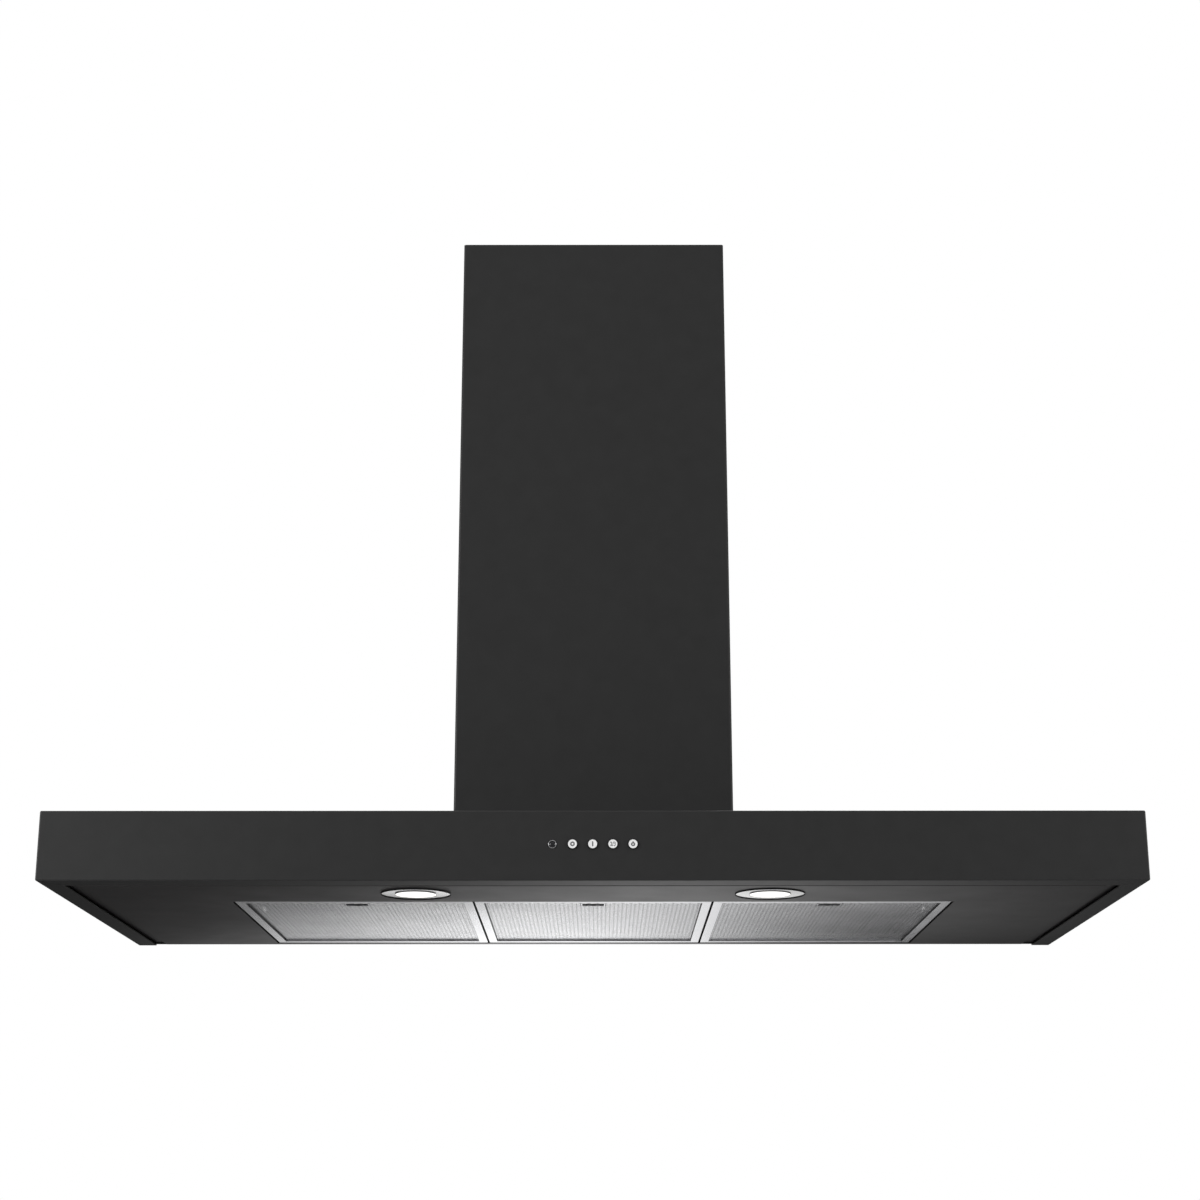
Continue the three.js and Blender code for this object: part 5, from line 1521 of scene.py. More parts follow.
@dataclass
class ControlPanel(SubAssembly):
    """The row of push buttons, the pilot light and the switch block behind the fascia."""

    cap: float = 5.0 * MM
    cap_depth: float = 3.8 * MM
    collar: float = 6.5 * MM
    collar_depth: float = 1.5 * MM
    stem: float = 2.0 * MM
    stem_bore: float = 2.3 * MM
    pilot_bore: float = 3.4 * MM
    bore_depth: float = 11.0 * MM
    print_depth: float = 0.05 * MM
    print_from_face: float = 0.1 * MM

    def build(self) -> None:
        """Makes the controls from left to right, then the block behind them."""
        for control in CONTROLS:
            if control.mark is Mark.PILOT:
                self.make_pilot(control.node)
            else:
                self.make_button(control)
        self.make_block()

    def lettering(self, text: str, height: float, bold: float, stretch: float = 1.0) -> Shape:
        """Characters as thin solids on X and Y round the origin.

        Args:
            text: the characters.
            height: their height before the stretch.
            bold: how much thicker their strokes are made, as a share of the height.
            stretch: how much taller they are made.

        Returns:
            The solids, half above and half below z = 0.
        """
        curve = bpy.data.curves.new("lettering", "FONT")
        curve.body = text
        curve.align_x, curve.align_y = "CENTER", "CENTER"
        curve.size = height * 1.4
        curve.extrude = self.print_depth / 2
        curve.offset = bold * height
        holder = bpy.data.objects.new("lettering", curve)
        bpy.context.scene.collection.objects.link(holder)
        graph = bpy.context.evaluated_depsgraph_get()
        mesh = bpy.data.meshes.new_from_object(holder.evaluated_get(graph), depsgraph=graph)
        shape = Shape()
        bm = shape.bm
        bm.from_mesh(mesh)
        bpy.data.objects.remove(holder)
        bpy.data.curves.remove(curve)
        bpy.data.meshes.remove(mesh)
        bmesh.ops.remove_doubles(bm, verts=bm.verts, dist=1e-7)
        bmesh.ops.recalc_face_normals(bm, faces=bm.faces)
        spots = [v.co for v in bm.verts]
        mid = [(min(c[i] for c in spots) + max(c[i] for c in spots)) / 2 for i in range(3)]
        shape.move([-c for c in mid])
        bmesh.ops.scale(bm, vec=(1.0, stretch, 1.0), verts=bm.verts)
        return shape

    def ring(self, inner: float, outer: float, stretch: float = 1.0) -> Shape:
        """A flat ring for a sign, taller than wide by the stretch."""
        half = self.print_depth / 2
        profile = [(inner, -half), (outer, -half), (outer, half), (inner, half)]
        shape = Shape().turned(profile, steps=48, closed=True)
        bmesh.ops.scale(shape.bm, vec=(1.0, stretch, 1.0), verts=shape.bm.verts)
        return shape

    def sign(self, mark: Mark) -> Shape:
        """The sign on a button's cap, on X and Y round the origin."""
        if mark is Mark.OFF:
            return self.ring(1.0 * MM, 2.3 * MM, 1.04)
        if mark is Mark.ONE:
            return self.lettering("1", 4.4 * MM, 0.07)
        if mark is Mark.MORE:
            return self.lettering("2/3", 3.2 * MM, 0.03, 1.3)
        half = self.print_depth / 2
        lamp = self.ring(0.8 * MM, 2.1 * MM)
        lamp.block(around(0.0, 1.2 * MM), (2.2 * MM, 2.9 * MM), (-half, half))
        return lamp.move((0.0, -0.3 * MM, 0.0))

    def make_button(self, control: Control) -> None:
        """Makes a push button: dished cap with its sign, collar and stem."""
        node = control.node
        low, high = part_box(node)
        middle = front_of(node)
        collar, length = self.cap_depth + self.collar_depth, high.y - low.y
        dish = ((0, 0.16), (2.4, 0.14), (3.8, 0.06), (4.1, 0))
        side = ((4.3, 0.04), (4.42, 0.2), (4.6, 1.0), (4.85, 1.8))
        profile = [
            *stepped(0.0, 0.0, *dish, *side), (self.cap, 2.4 * MM), (self.cap, self.cap_depth),
            (self.collar, self.cap_depth), (self.collar, collar), (self.stem, collar),
            *stepped(self.stem, length, (0, -0.5), (-0.5, 0)), (0.0, length),
        ]
        shape = Shape().turned(profile, REARWARD, middle, 80)
        # Painted shade: the cap's flank gets the black plastic finish, as the dark ring round the
        # button.
        shape.paint(2, lambda at: at.y > low.y + 0.25 * MM)
        front = (middle[0], low.y + self.print_from_face, middle[2])
        shape.add(self.sign(control.mark).paint(1).move(front, ASTERN))
        self.shop.deliver(shape, f"{node}_cap", node, SILVER, PRINT, BLACK, edge=0.0)

    def make_pilot(self, node: str) -> None:
        """Makes the pilot light's ring and its dark, domed lens."""
        low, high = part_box(node)
        middle, radius, depth = front_of(node), (high.x - low.x) / 2, high.y - low.y
        dome = [(radius * math.sin(a), 1.2 * MM * (1 - math.cos(a))) for a in arc_angles(0, 84, 12)]
        profile = [*dome, (radius, 1.4 * MM), (radius, depth), (0.0, depth)]
        shape = Shape().turned(profile, REARWARD, middle, 64)
        self.shop.deliver(shape, "pilot_light_lens", node, PILOT, edge=0.0)
        low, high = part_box("pilot_ring")
        outer, inner, depth = (high.x - low.x) / 2, radius + 0.3 * MM, high.y - low.y
        half = (outer - inner) / 2
        rounded = arc(((inner + outer) / 2, half), half, 180, 360, 10)
        profile = [*rounded, (outer, depth), (inner, depth)]
        shape = Shape().turned(profile, REARWARD, front_of("pilot_ring"), 80, closed=True)
        self.shop.deliver(shape, "pilot_light_ring", "pilot_ring", SMOKED_CHROME_AND_SHADE, edge=0.0)

    def make_block(self) -> None:
        """Makes the switch block, with a bore for each stem and grooves between the switches."""
        low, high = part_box("switch_block")
        lens_low, lens_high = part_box("pilot_lens")
        post = 3 * MM
        front = middle_of("pilot_lens").y + (lens_high.y - lens_low.y) / 2 - 0.6 * MM
        height = (low.z + high.z) / 2
        shape = Shape().block((low.x, high.x), (front, high.y), (low.z, high.z))
        shape.round(shape.edges(), 1.2 * MM, 3)
        posts = [
            Shape().rod(post, (low.y, front + MM), REARWARD, (way * (high.x - post), 0, height))
            for way in WAYS
        ]
        cuts = []
        rear = (high.y - 1.2 * MM, high.y + 2 * MM)
        pocket = (low.z + 4 * MM, high.z - 4 * MM)
        for control in CONTROLS:
            x = middle_of(control.node).x
            wide = self.pilot_bore if control.mark is Mark.PILOT else self.stem_bore
            cuts.append(hole(wide, (x, front, height), REARWARD, self.bore_depth))
            cuts.append(slot(around(x, 13 * MM), rear, pocket, "Y", 1.5 * MM))
            for way in WAYS:
                groove = around(x + way * 8 * MM, 1.2 * MM)
                run = (front - MM, high.y + MM)
                cuts.append(slot(groove, run, around(low.z, MM), "Y", 0.2 * MM))
        self.shop.deliver(shape, "switch_housing", "switch_block", BLACK, joins=posts, cuts=cuts)


# ---------- chimney ----------


@dataclass
class Chimney(SubAssembly):
    """The two covers of the duct, the bracket behind them and what holds them."""

    sheet: float = 1.0 * MM
    fold: float = 2.5 * MM
    rear_fold: float = 1.3 * MM
    return_width: float = 15.0 * MM
    vents: int = 8
    vent_pitch: float = 10.0 * MM
    vent_length: float = 110.0 * MM
    vent_height: float = 4.0 * MM
    vent_from_top: float = 40.0 * MM
    screw_hole: float = 2.3 * MM
    bracket_sheet: float = 1.5 * MM
    bracket_slots: tuple[float, ...] = (-0.1, -0.04, 0.04, 0.1)

    def build(self) -> None:
        """Makes the covers from below upwards, then the bracket, clips and screws."""
        self.make_cover("lower_chimney", self.screw_holes())
        self.make_cover("upper_chimney", self.vent_slots())
        self.make_bracket()
        for side, way in HANDS.items():
            self.make_clip(side)
            node = f"chimney_screw_{side}"
            screw = middle_of(node)
            place = (way * (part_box("lower_chimney")[1].x + 0.3 * MM), screw.y, screw.z)
            self.shop.screw(node, SIDEWAYS if way < 0 else LEFTWARD, place, 4.9 * MM)

    def make_cover(self, node: str, cuts: list[Shape]) -> None:
        """Makes one cover, folded from sheet: front, sides and narrow returns along the wall.

        Args:
            node: the cover's node.
            cuts: what is cut out of it.
        """
        low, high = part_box(node)
        tip = high.x - self.return_width
        line = [
            (tip, high.y, low.z), (high.x, high.y, low.z), (high.x, low.y, low.z),
            (low.x, low.y, low.z), (low.x, high.y, low.z), (-tip, high.y, low.z),
        ]
        shape = Shape().folded(line, (0.0, 0.0, high.z - low.z)).facing((0, -1, 0))
        middle = (low.y + high.y) / 2
        shape.round(shape.edges(lambda at, _: at.y > middle), self.rear_fold, 4)
        shape.round(shape.edges(lambda at, _: at.y < low.y + MM), self.fold, 8)
        shape.thicken(self.sheet)
        self.shop.deliver(shape, f"{node}_cover", node, ENAMEL, cuts=cuts)

    def screw_holes(self) -> list[Shape]:
        """The holes for the screws at the lower cover's foot."""
        screws = [middle_of(f"chimney_screw_{side}") for side in HANDS]
        return [hole(self.screw_hole, screw, SIDEWAYS, 6 * MM) for screw in screws]

    def vent_slots(self) -> list[Shape]:
        """The rows of vents near the upper cover's top, in both sides at once."""
        low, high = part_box("upper_chimney")
        wide = (low.x - 5 * MM, high.x + 5 * MM)
        run = around((low.y + high.y) / 2, self.vent_length)
        tools = []
        for i in range(self.vents):
            top = high.z - self.vent_from_top - i * self.vent_pitch
            rise = (top - self.vent_height, top)
            tools.append(slot(wide, run, rise, "X", 0.48 * self.vent_height))
        return tools

    def make_bracket(self) -> None:
        """Makes the wall bracket, which steps round the upper cover's returns."""
        low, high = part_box("chimney_bracket")
        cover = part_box("upper_chimney")[1]
        tip = cover.x - self.return_width - 0.3 * MM
        step = cover.y - 3.5 * MM
        half = [
            (tip, 0.0, low.z), (tip, step, low.z), (high.x, step, low.z), (high.x, low.y, low.z),
        ]
        line = [(-x, y, z) for x, y, z in reversed(half)] + half
        shape = Shape().folded(line, (0.0, 0.0, high.z - low.z)).facing((0, 1, 0))
        shape.round(shape.edges(), 1.8 * MM, 3).thicken(self.bracket_sheet)
        rise = around((low.z + high.z) / 2, 5 * MM)
        through = around(0.0, 10 * MM)
        cuts = [slot(around(x, 14 * MM), through, rise, "Y", 2.4 * MM) for x in self.bracket_slots]
        wide, run = (low.x - 5 * MM, high.x + 5 * MM), (low.y + 18 * MM, low.y + 30 * MM)
        cuts.append(slot(wide, run, rise, "X", 2.4 * MM))
        self.shop.deliver(shape, "chimney_wall_bracket", "chimney_bracket", ZINC, cuts=cuts)

    def make_clip(self, side: str) -> None:
        """Makes an angle clip that a screw at the lower cover's foot goes into."""
        node = f"chimney_clip_{side}"
        low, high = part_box(node)
        outer, inner = (low.x, high.x) if side == "left" else (high.x, low.x)
        line = [(inner, low.y, low.z), (outer, low.y, low.z), (outer, low.y, high.z)]
        shape = Shape().folded(line, (0.0, high.y - low.y, 0.0)).facing((0, 0, -1))
        shape.round(shape.edges(), 1.6 * MM, 4).thicken(self.sheet)
        screw = middle_of(f"chimney_screw_{side}")
        cuts = [
            hole(self.screw_hole, (outer, screw.y, screw.z), SIDEWAYS),
            hole(2.0 * MM, ((outer + inner) / 2, (low.y + high.y) / 2, low.z)),
        ]
        self.shop.deliver(shape, f"{node}_angle", node, ZINC, cuts=cuts)


# ---------- wall hanging ----------


@dataclass
class WallHanging(SubAssembly):
    """The rail on the wall and the hanger on the fan box that drops over its lip."""

    sheet: float = 1.5 * MM
    lip: float = 12.0 * MM
    hole_x: float = 75.0 * MM
    hole_radius: float = 3.0 * MM
    slot_x: float = 30.0 * MM

    def build(self) -> None:
        """Makes the rail and the hanger."""
        self.make_rail()
        self.make_hanger()

    def make_rail(self) -> None:
        """Makes the rail: a plate whose upper edge steps out and turns up into a lip."""
        low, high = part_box("wall_rail")
        knee, front = high.z - self.lip, low.y + self.sheet
        line = [
            (low.x, 0.0, low.z), (low.x, 0.0, knee), (low.x, front, knee), (low.x, front, high.z),
        ]
        shape = Shape().folded(line, (high.x - low.x, 0.0, 0.0)).facing((0, 1, 0))
        shape.thicken(self.sheet)
        cuts = []
        through, round_hole = around(0.0, 10 * MM), 2 * self.hole_radius
        for way in WAYS:
            x = around(way * self.hole_x, round_hole)
            cuts.append(slot(x, through, around(0.0, round_hole), "Y", 0.48 * round_hole))
            x = around(way * self.slot_x, 16 * MM)
            cuts.append(slot(x, through, around(0.0, 5 * MM), "Y", 2.4 * MM))
        self.shop.deliver(shape, "wall_hanging_rail", "wall_rail", ZINC, cuts=cuts)

    def make_hanger(self) -> None:
        """Makes the hanger: plate, roof and the leg that hangs behind the rail's lip."""
        low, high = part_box("fan_box_hanger")
        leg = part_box("wall_rail")[1].z - self.lip + 0.3 * MM
        line = [
            (low.x, low.y, low.z), (low.x, low.y, high.z), (low.x, high.y, high.z),
            (low.x, high.y, leg),
        ]
        shape = Shape().folded(line, (high.x - low.x, 0.0, 0.0)).facing((0, 0, 1))
        shape.round(shape.edges(), 1.7 * MM, 4).thicken(self.sheet)
        cuts = [
            hole(2.2 * MM, (i * 0.04, low.y, low.z + 8 * MM), REARWARD, 3 * MM)
            for i in range(-2, 3)
        ]
        self.shop.deliver(shape, "fan_box_wall_hanger", "fan_box_hanger", ZINC, cuts=cuts)


# ---------- fan ----------


def grooved_rod(
    radius: float, length: float, chamfer: float, grooves: Sequence[float], groove: Span
) -> list[Span]:
    """The section of a rod with chamfered ends and grooves.

    Args:
        radius: its radius.
        length: its length.
        chamfer: how far its ends are chamfered.
        grooves: where each groove starts.
        groove: the depth and width of each.

    Returns:
        Its corners, as radius and height.
    """
    depth, width = groove
    profile = [(0.0, 0.0), (radius - chamfer, 0.0), (radius, chamfer)]
    for at in grooves:
        profile += [(radius, at), (radius - depth, at)]
        profile += [(radius - depth, at + width), (radius, at + width)]
    return profile + [(radius, length - chamfer), (radius - chamfer, length), (0.0, length)]


@dataclass
class Fan(SubAssembly):
    """The fan box and everything in it: volute halves, wheel, motor, spider and capacitor."""

    sheet: float = 1.0 * MM
    foot_flange: float = 13.0 * MM
    screw_hole: float = 2.3 * MM
    roof_hole: float = 73.5 * MM
    volute_start: float = 76.0 * MM
    volute_growth: float = 32.0 * MM
    volute_tongue: float = 60.0
    volute_outlet: float = 124.0 * MM
    volute_wall: float = 2.0 * MM
    inlet: float = 54.0 * MM
    blades: int = 40
    blade_turn: float = 62.0
    eye: float = 56.0 * MM
    hub: float = 12.0 * MM
    bore: float = 4.3 * MM
    arms: int = 3

    def build(self) -> None:
        """Makes the fan from the outside in."""
        self.axis = middle_of("impeller")
        self.make_box()
        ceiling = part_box("canopy_body")[1].z - 1.3 * MM
        for i in range(4):
            node = f"fan_box_screw_{i + 1}"
            spot = middle_of(node)
            self.shop.screw(node, UPRIGHT, (spot.x, spot.y, ceiling), 6.9 * MM)
        for side, way in HANDS.items():
            self.make_volute(side, way)
        self.make_impeller()
        self.make_motor()
        self.make_shaft()
        self.make_spider()
        self.make_capacitor()

    def make_box(self) -> None:
        """Makes the box: open below, with stiffening panels pressed into its walls."""
        low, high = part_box("fan_box")
        shape = Shape().block(*zip(low, high))
        mouth, under = high.x - self.foot_flange, low.z + self.sheet
        for way in WAYS:
            shape.score("X", way * mouth, lambda at: at.z < under)
        shape.open(lambda at: at.z < under and abs(at.x) < mouth)
        walls = [f for f in shape.bm.faces if abs(f.normal.z) < 0.5]
        for inset, push in ((28 * MM, 0.0), (3 * MM, -2.5 * MM)):
            bmesh.ops.inset_individual(shape.bm, faces=walls, thickness=inset, depth=push)

        def between_walls(at: Vector, _: Vector) -> bool:
            """A test for edges above the foot where two of side, front or rear, and roof meet."""
            end = at.y < low.y + MM or at.y > high.y - MM
            meeting = (abs(at.x) > high.x - MM) + end + (at.z > high.z - MM)
            return at.z > low.z + MM and meeting > 1

        shape.round(shape.edges(between_walls), 1.8 * MM, 4).facing((0, 0, 1)).thicken(self.sheet)
        cuts = [hole(self.roof_hole, (0.0, middle_of("outlet_collar").y, high.z))]
        for i in range(4):
            screw = middle_of(f"fan_box_screw_{i + 1}")
            cuts.append(hole(self.screw_hole, (screw.x, screw.y, low.z), reach=3 * MM))
        self.shop.deliver(shape, "fan_housing_box", "fan_box", ZINC, cuts=cuts)

    def volute_line(self, inset: float, top: float) -> list[Span]:
        """The volute's section: a spiral that opens from its tongue to the outlet above.

        Args:
            inset: how far inside the outer face the line runs.
            top: the outlet's height.

        Returns:
            Its corners on Y and Z.
        """
        outer = self.volute_start + self.volute_growth
        steps = 64
        y, z = self.axis.y, self.axis.z
        line = [(y + outer - inset, top)]
        for i in range(steps + 1):
            share = 1 - i / steps
            turn = math.radians(self.volute_tongue + share * (360 - self.volute_tongue))
            radius = self.volute_start + share * self.volute_growth - inset
            line.append((y + radius * math.cos(turn), z + radius * math.sin(turn)))
        return line + [(y + outer - self.volute_outlet + inset, top)]

    def make_volute(self, side: str, way: int) -> None:
        """Makes one half of the volute, with a ribbed face and a raised inlet ring.

        Args:
            side: left or right.
            way: -1 for left and 1 for right.
        """
        node = f"volute_{side}"
        low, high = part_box(node)
        inner, outer = (high.x, low.x) if way < 0 else (low.x, high.x)
        face, (y, z) = outer - way * MM, self.axis.yz
        middle = (0.0, y, z)
        shape = Shape().prism(self.volute_line(0.0, high.z), sorted((inner, face)), ACROSS)
        reach = sorted((inner - way * 5 * MM, face - way * self.volute_wall))
        line = self.volute_line(self.volute_wall, high.z + 5 * MM)
        ring = sorted((face - way * MM, outer))
        ribs = Shape().block(ring, around(y, 2 * MM), (z + self.inlet, z + 74 * MM))
        joins = [
            Shape().rod(self.inlet + 9 * MM, ring, SIDEWAYS, middle, 96),
            ribs.copy_turned(12, "X", middle),
        ]
        lip, wide = 3 * MM, self.inlet + 3 * MM
        mouth = [(0.0, -4 * MM), (self.inlet, -4 * MM)]
        mouth += [
            (self.inlet + lip * (1 - math.cos(a)), lip * math.sin(a)) for a in arc_angles(0, 90, 8)
        ]
        mouth += [(wide, 6 * MM), (0.0, 6 * MM)]
        turn = SIDEWAYS if way > 0 else LEFTWARD
        cuts = [
            Shape().prism(line, reach, ACROSS),
            Shape().turned(mouth, turn, (outer - way * lip, y, z), 96),
        ]
        self.shop.deliver(shape, f"{node}_half", node, BLACK, joins=joins, cuts=cuts)

    def make_impeller(self) -> None:
        """Makes the double-inlet wheel: web, hub, end rings and curved blades."""
        low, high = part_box("impeller")
        rim, half = (high.y - low.y) / 2, (high.x - low.x) / 2
        face = [(0.55 * rim, MM), (0.62 * rim, 2.4 * MM), (0.74 * rim, 2.4 * MM), (0.8 * rim, MM)]
        back = [(0.8 * rim, MM), (0.74 * rim, -0.4 * MM), (0.62 * rim, -0.4 * MM), (0.55 * rim, MM)]
        web = [
            (self.bore, -10 * MM), *stepped(self.hub, 0.0, (0, -10), (0, -2.2), (4, -1)),
            *((radius, -height) for radius, height in face),
            *stepped(rim, 0.0, (-0.2, -1), (-0.2, 1)), *back,
            *stepped(self.hub, 0.0, (4, 1), (0, 2.2), (0, 10)), (self.bore, 10 * MM),
        ]
        shape = Shape().turned(web, SIDEWAYS, self.axis, 120, closed=True)
        middle, width = (self.eye + rim) / 2, (rim - self.eye) / 2
        oval = [(middle + width * math.cos(a), MM * math.sin(a)) for a in arc_angles(0, 330, 11)]
        for way in WAYS:
            place = self.axis + Vector((way * (half - MM), 0, 0))
            shape.turned(oval, SIDEWAYS, place, 120, closed=True)
        blade = arc((0.0, 0.0), 9.5 * MM, 25, 130, 7) + arc((0.0, 0.0), 8.7 * MM, 130, 25, 7)
        blades = Shape().prism(blade, around(0.0, 2 * half - 2.4 * MM), ACROSS)
        middle, top = self.top_of(blades)
        turn = Matrix.Rotation(math.radians(self.blade_turn), 4, "X")
        blades.move((0.0, -middle, -top)).move(ORIGIN, turn)
        middle, top = self.top_of(blades)
        x, y, z = self.axis
        blades.move((x, y - middle, z + rim - 1.4 * MM - top))
        shape.add(blades.copy_turned(self.blades, "X", self.axis))
        self.shop.deliver(shape, "fan_wheel_cage", "impeller", ZINC, edge=0.0)

    def top_of(self, shape: Shape) -> Span:
        """A shape's middle on Y and its top on Z."""
        spots = [v.co for v in shape.bm.verts]
        return (min(c.y for c in spots) + max(c.y for c in spots)) / 2, max(c.z for c in spots)

    def make_motor(self) -> None:
        """Makes the motor: two pressed end bells with vents round a ribbed stator."""
        low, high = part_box("motor")
        radius, length = (high.y - low.y) / 2, high.x - low.x
        rib, end = 1.6 * MM, length - 1.5 * MM
        profile = [
            (0.0, 0.0), (0.3 * radius, 0.0), (0.36 * radius, 2.4 * MM), (0.78 * radius, 2.4 * MM),
            (0.84 * radius, 1.0 * MM), *stepped(radius, 0.0, (-2.4, 1.0), (0, 3.6)),
            (radius, 0.3 * length),
        ]
        for i in range(6):
            at = 0.3 * length + i * 0.4 * length / 6
            profile += [(radius - rib, at + rib), (radius - rib, at + 2 * rib)]
            profile.append((radius, at + 3 * rib))
        profile += [(radius, 0.92 * length), (radius - 3 * MM, end), (0.5 * radius, end)]
        profile += [(0.44 * radius, length), (0.0, length)]
        shape = Shape().turned(profile, SIDEWAYS, (low.x, self.axis.y, self.axis.z), 96)
        rise = (self.axis.z + 0.55 * radius, self.axis.z + 0.74 * radius)
        cuts = []
        for end in (low.x + MM, high.x - 1.5 * MM):
            vents = Shape().block(around(end, 9 * MM), around(self.axis.y, 5 * MM), rise)
            cuts.append(vents.copy_turned(10, "X", self.axis))
        self.shop.deliver(shape, "fan_motor_body", "motor", STEEL, cuts=cuts)

    def make_shaft(self) -> None:
        """Makes the shaft, with chamfered ends and two grooves for retaining rings."""
        low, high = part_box("motor_shaft")
        radius, length = (high.y - low.y) / 2, high.x - low.x
        grooves = (2.2 * MM, length - 3.2 * MM)
        profile = grooved_rod(radius, length, 0.5 * MM, grooves, (0.4 * MM, MM))
        shape = Shape().turned(profile, SIDEWAYS, (low.x, self.axis.y, self.axis.z), 48)
        self.shop.deliver(shape, "fan_motor_shaft", "motor_shaft", STEEL, edge=0.0)

    def make_spider(self) -> None:
        """Makes the spider that holds the motor in the left inlet."""
        low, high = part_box("motor_spider")
        rim, half = (high.y - low.y) / 2, (high.x - low.x) / 2
        outer, height = rim - 10 * MM, self.axis.z
        middle = ((low.x + high.x) / 2, self.axis.y, height)
        ring = [(outer, -half), (rim, -half), (rim, half), (outer, half)]
        shape = Shape().turned(ring, SIDEWAYS, middle, 96, closed=True)
        hub = Shape().rod(20 * MM, (-half, half), SIDEWAYS, middle, 64)
        reach = (height + 10 * MM, height + outer + 5 * MM)
        arms = Shape().block((low.x, high.x), around(self.axis.y, 12 * MM), reach)
        joins = [arms.copy_turned(self.arms, "X", middle), hub]
        cuts = []
        for i in range(self.arms):
            turn = Matrix.Rotation(2 * math.pi * i / self.arms, 4, "X")
            for radius, at in ((2.2 * MM, outer + 5 * MM), (1.8 * MM, -14 * MM)):
                spot = Vector(middle) + turn @ Vector((0.0, 0.0, at))
                cuts.append(hole(radius, spot, SIDEWAYS))
        self.shop.deliver(shape, "motor_carrier", "motor_spider", STEEL, joins=joins, cuts=cuts)

    def make_capacitor(self) -> None:
        """Makes the capacitor: a can with a crimped foot and a domed cap."""
        low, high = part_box("capacitor")
        radius, rise = (high.x - low.x) / 2, high.z - low.z
        crimp = ((-2.6, 1.2), (-2.2, 0), (-0.8, 0), (0, 0.9), (0, 4))
        groove = ((-0.8, 4.8), (-0.8, 6), (0, 6.8))
        profile = [
            (0.0, 1.2 * MM), *stepped(radius, 0.0, *crimp, *groove),
            *stepped(radius, rise, (0, -3), (-0.9, -1.1), (-3, 0)), (0.0, rise),
        ]
        spot = middle_of("capacitor")
        shape = Shape().turned(profile, UPRIGHT, (spot.x, spot.y, low.z), 72)
        self.shop.deliver(shape, "run_capacitor", "capacitor", WHITE, edge=0.0)


# ---------- outlet ----------


@dataclass
class Outlet(SubAssembly):
    """The collar for the duct, with a damper of two flaps on pins."""

    wall: float = 1.5 * MM
    bore: float = 73.5 * MM
    spigot: float = 75.0 * MM
    ledge: float = 3.0 * MM
    ribs: int = 24
    screw_turn: float = 0.13
    pin_hole: float = 1.8 * MM
    flap_sheet: float = 1.2 * MM
    knuckle: float = 3.0 * MM
    knuckle_half: float = 59.5 * MM

    def build(self) -> None:
        """Makes the collar, then each flap with its pin."""
        self.make_collar()
        for side in ("front", "rear"):
            self.make_flap(side)
            self.make_pin(side)

    def make_collar(self) -> None:
        """Makes the collar: flange with ribs, spigot with a bead, and the flaps' ledge."""
        low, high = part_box("outlet_collar")
        middle = (0.0, (low.y + high.y) / 2, low.z)
        flange, rise = (high.x - low.x) / 2, high.z - low.z
        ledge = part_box("damper_flap_front")[0].z - low.z - 0.3 * MM
        inner, foot = self.bore - self.ledge, ledge - self.wall
        profile = [
            (self.bore, 0.0), (flange, 0.0), (flange, self.wall), (self.spigot, self.wall),
            *stepped(self.spigot, rise, (0, -2), (-0.5, 0)), (self.bore, rise),
            (self.bore, ledge), (inner, ledge), (inner, foot), (self.bore, foot),
        ]
        shape = Shape().turned(profile, UPRIGHT, middle, 128, closed=True)
        inner, outer, half = self.spigot - 0.7 * MM, flange - 1.5 * MM, self.wall / 2
        outline = [
            (inner, half), (outer, half), (outer, self.wall + 0.5 * MM),
            (self.spigot + MM, 9 * MM), (inner, 9 * MM),
        ]
        ribs = Shape().prism(outline, around(0.0, 1.6 * MM), ASTERN, middle)
        ribs.copy_turned(self.ribs, "Z", middle)
        cuts = []
        for side in ("front", "rear"):
            cuts.append(hole(self.pin_hole, middle_of(f"damper_pin_{side}"), SIDEWAYS, 90 * MM))
        reach = Matrix.Rotation(self.screw_turn, 4, "Z") @ Vector((flange - 4.4 * MM, 0, 0))
        for i in range(4):
            turn = Matrix.Rotation(math.pi / 4 + i * math.pi / 2, 4, "Z")
            cuts.append(hole(1.9 * MM, Vector(middle) + turn @ reach, reach=3 * MM))
        self.shop.deliver(shape, "duct_collar", "outlet_collar", BLACK, joins=[ribs], cuts=cuts)

    def make_flap(self, side: str) -> None:
        """Makes one half-round flap with its knuckle and a stiffening bead."""
        node = f"damper_flap_{side}"
        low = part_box(node)[0]
        pin = middle_of(f"damper_pin_{side}")
        middle = (0.0, middle_of("outlet_collar").y)
        radius, face = self.bore - MM, low.z + self.flap_sheet
        start = math.degrees(math.asin(abs(pin.y - middle[1]) / radius))
        ends = (180 + start, 360 - start) if side == "front" else (start, 180 - start)
        shape = Shape().prism(arc(middle, radius, *ends, 48), (low.z, face))
        knuckle = Shape().rod(self.knuckle, around(0.0, 2 * self.knuckle_half), SIDEWAYS, pin, 32)
        inner = arc(middle, radius - 12 * MM, ends[0] + 12, ends[1] - 12, 36)
        bead = Shape().prism(inner, (low.z + self.flap_sheet / 2, face + 0.7 * MM))
        bead.round(bead.edges(lambda at, _: at.z > face), 0.6 * MM, 2)
        bore = hole(self.pin_hole, pin, SIDEWAYS, 80 * MM)
        self.shop.deliver(
            shape, f"damper_{side}_flap", node, FLAP, joins=[knuckle, bead], cuts=[bore],
            edge=0.15 * MM,
        )

    def make_pin(self, side: str) -> None:
        """Makes a flap's hinge pin, with chamfered ends and a groove at each."""
        node = f"damper_pin_{side}"
        low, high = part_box(node)
        radius, length = (high.z - low.z) / 2, high.x - low.x
        grooves = (1.6 * MM, length - 2.2 * MM)
        profile = grooved_rod(radius, length, 0.3 * MM, grooves, (0.2 * MM, 0.6 * MM))
        spot = middle_of(node)
        shape = Shape().turned(profile, SIDEWAYS, (low.x, spot.y, spot.z), 32)
        self.shop.deliver(shape, f"damper_{side}_pin", node, STEEL, edge=0.0)


# ---------- electrics ----------


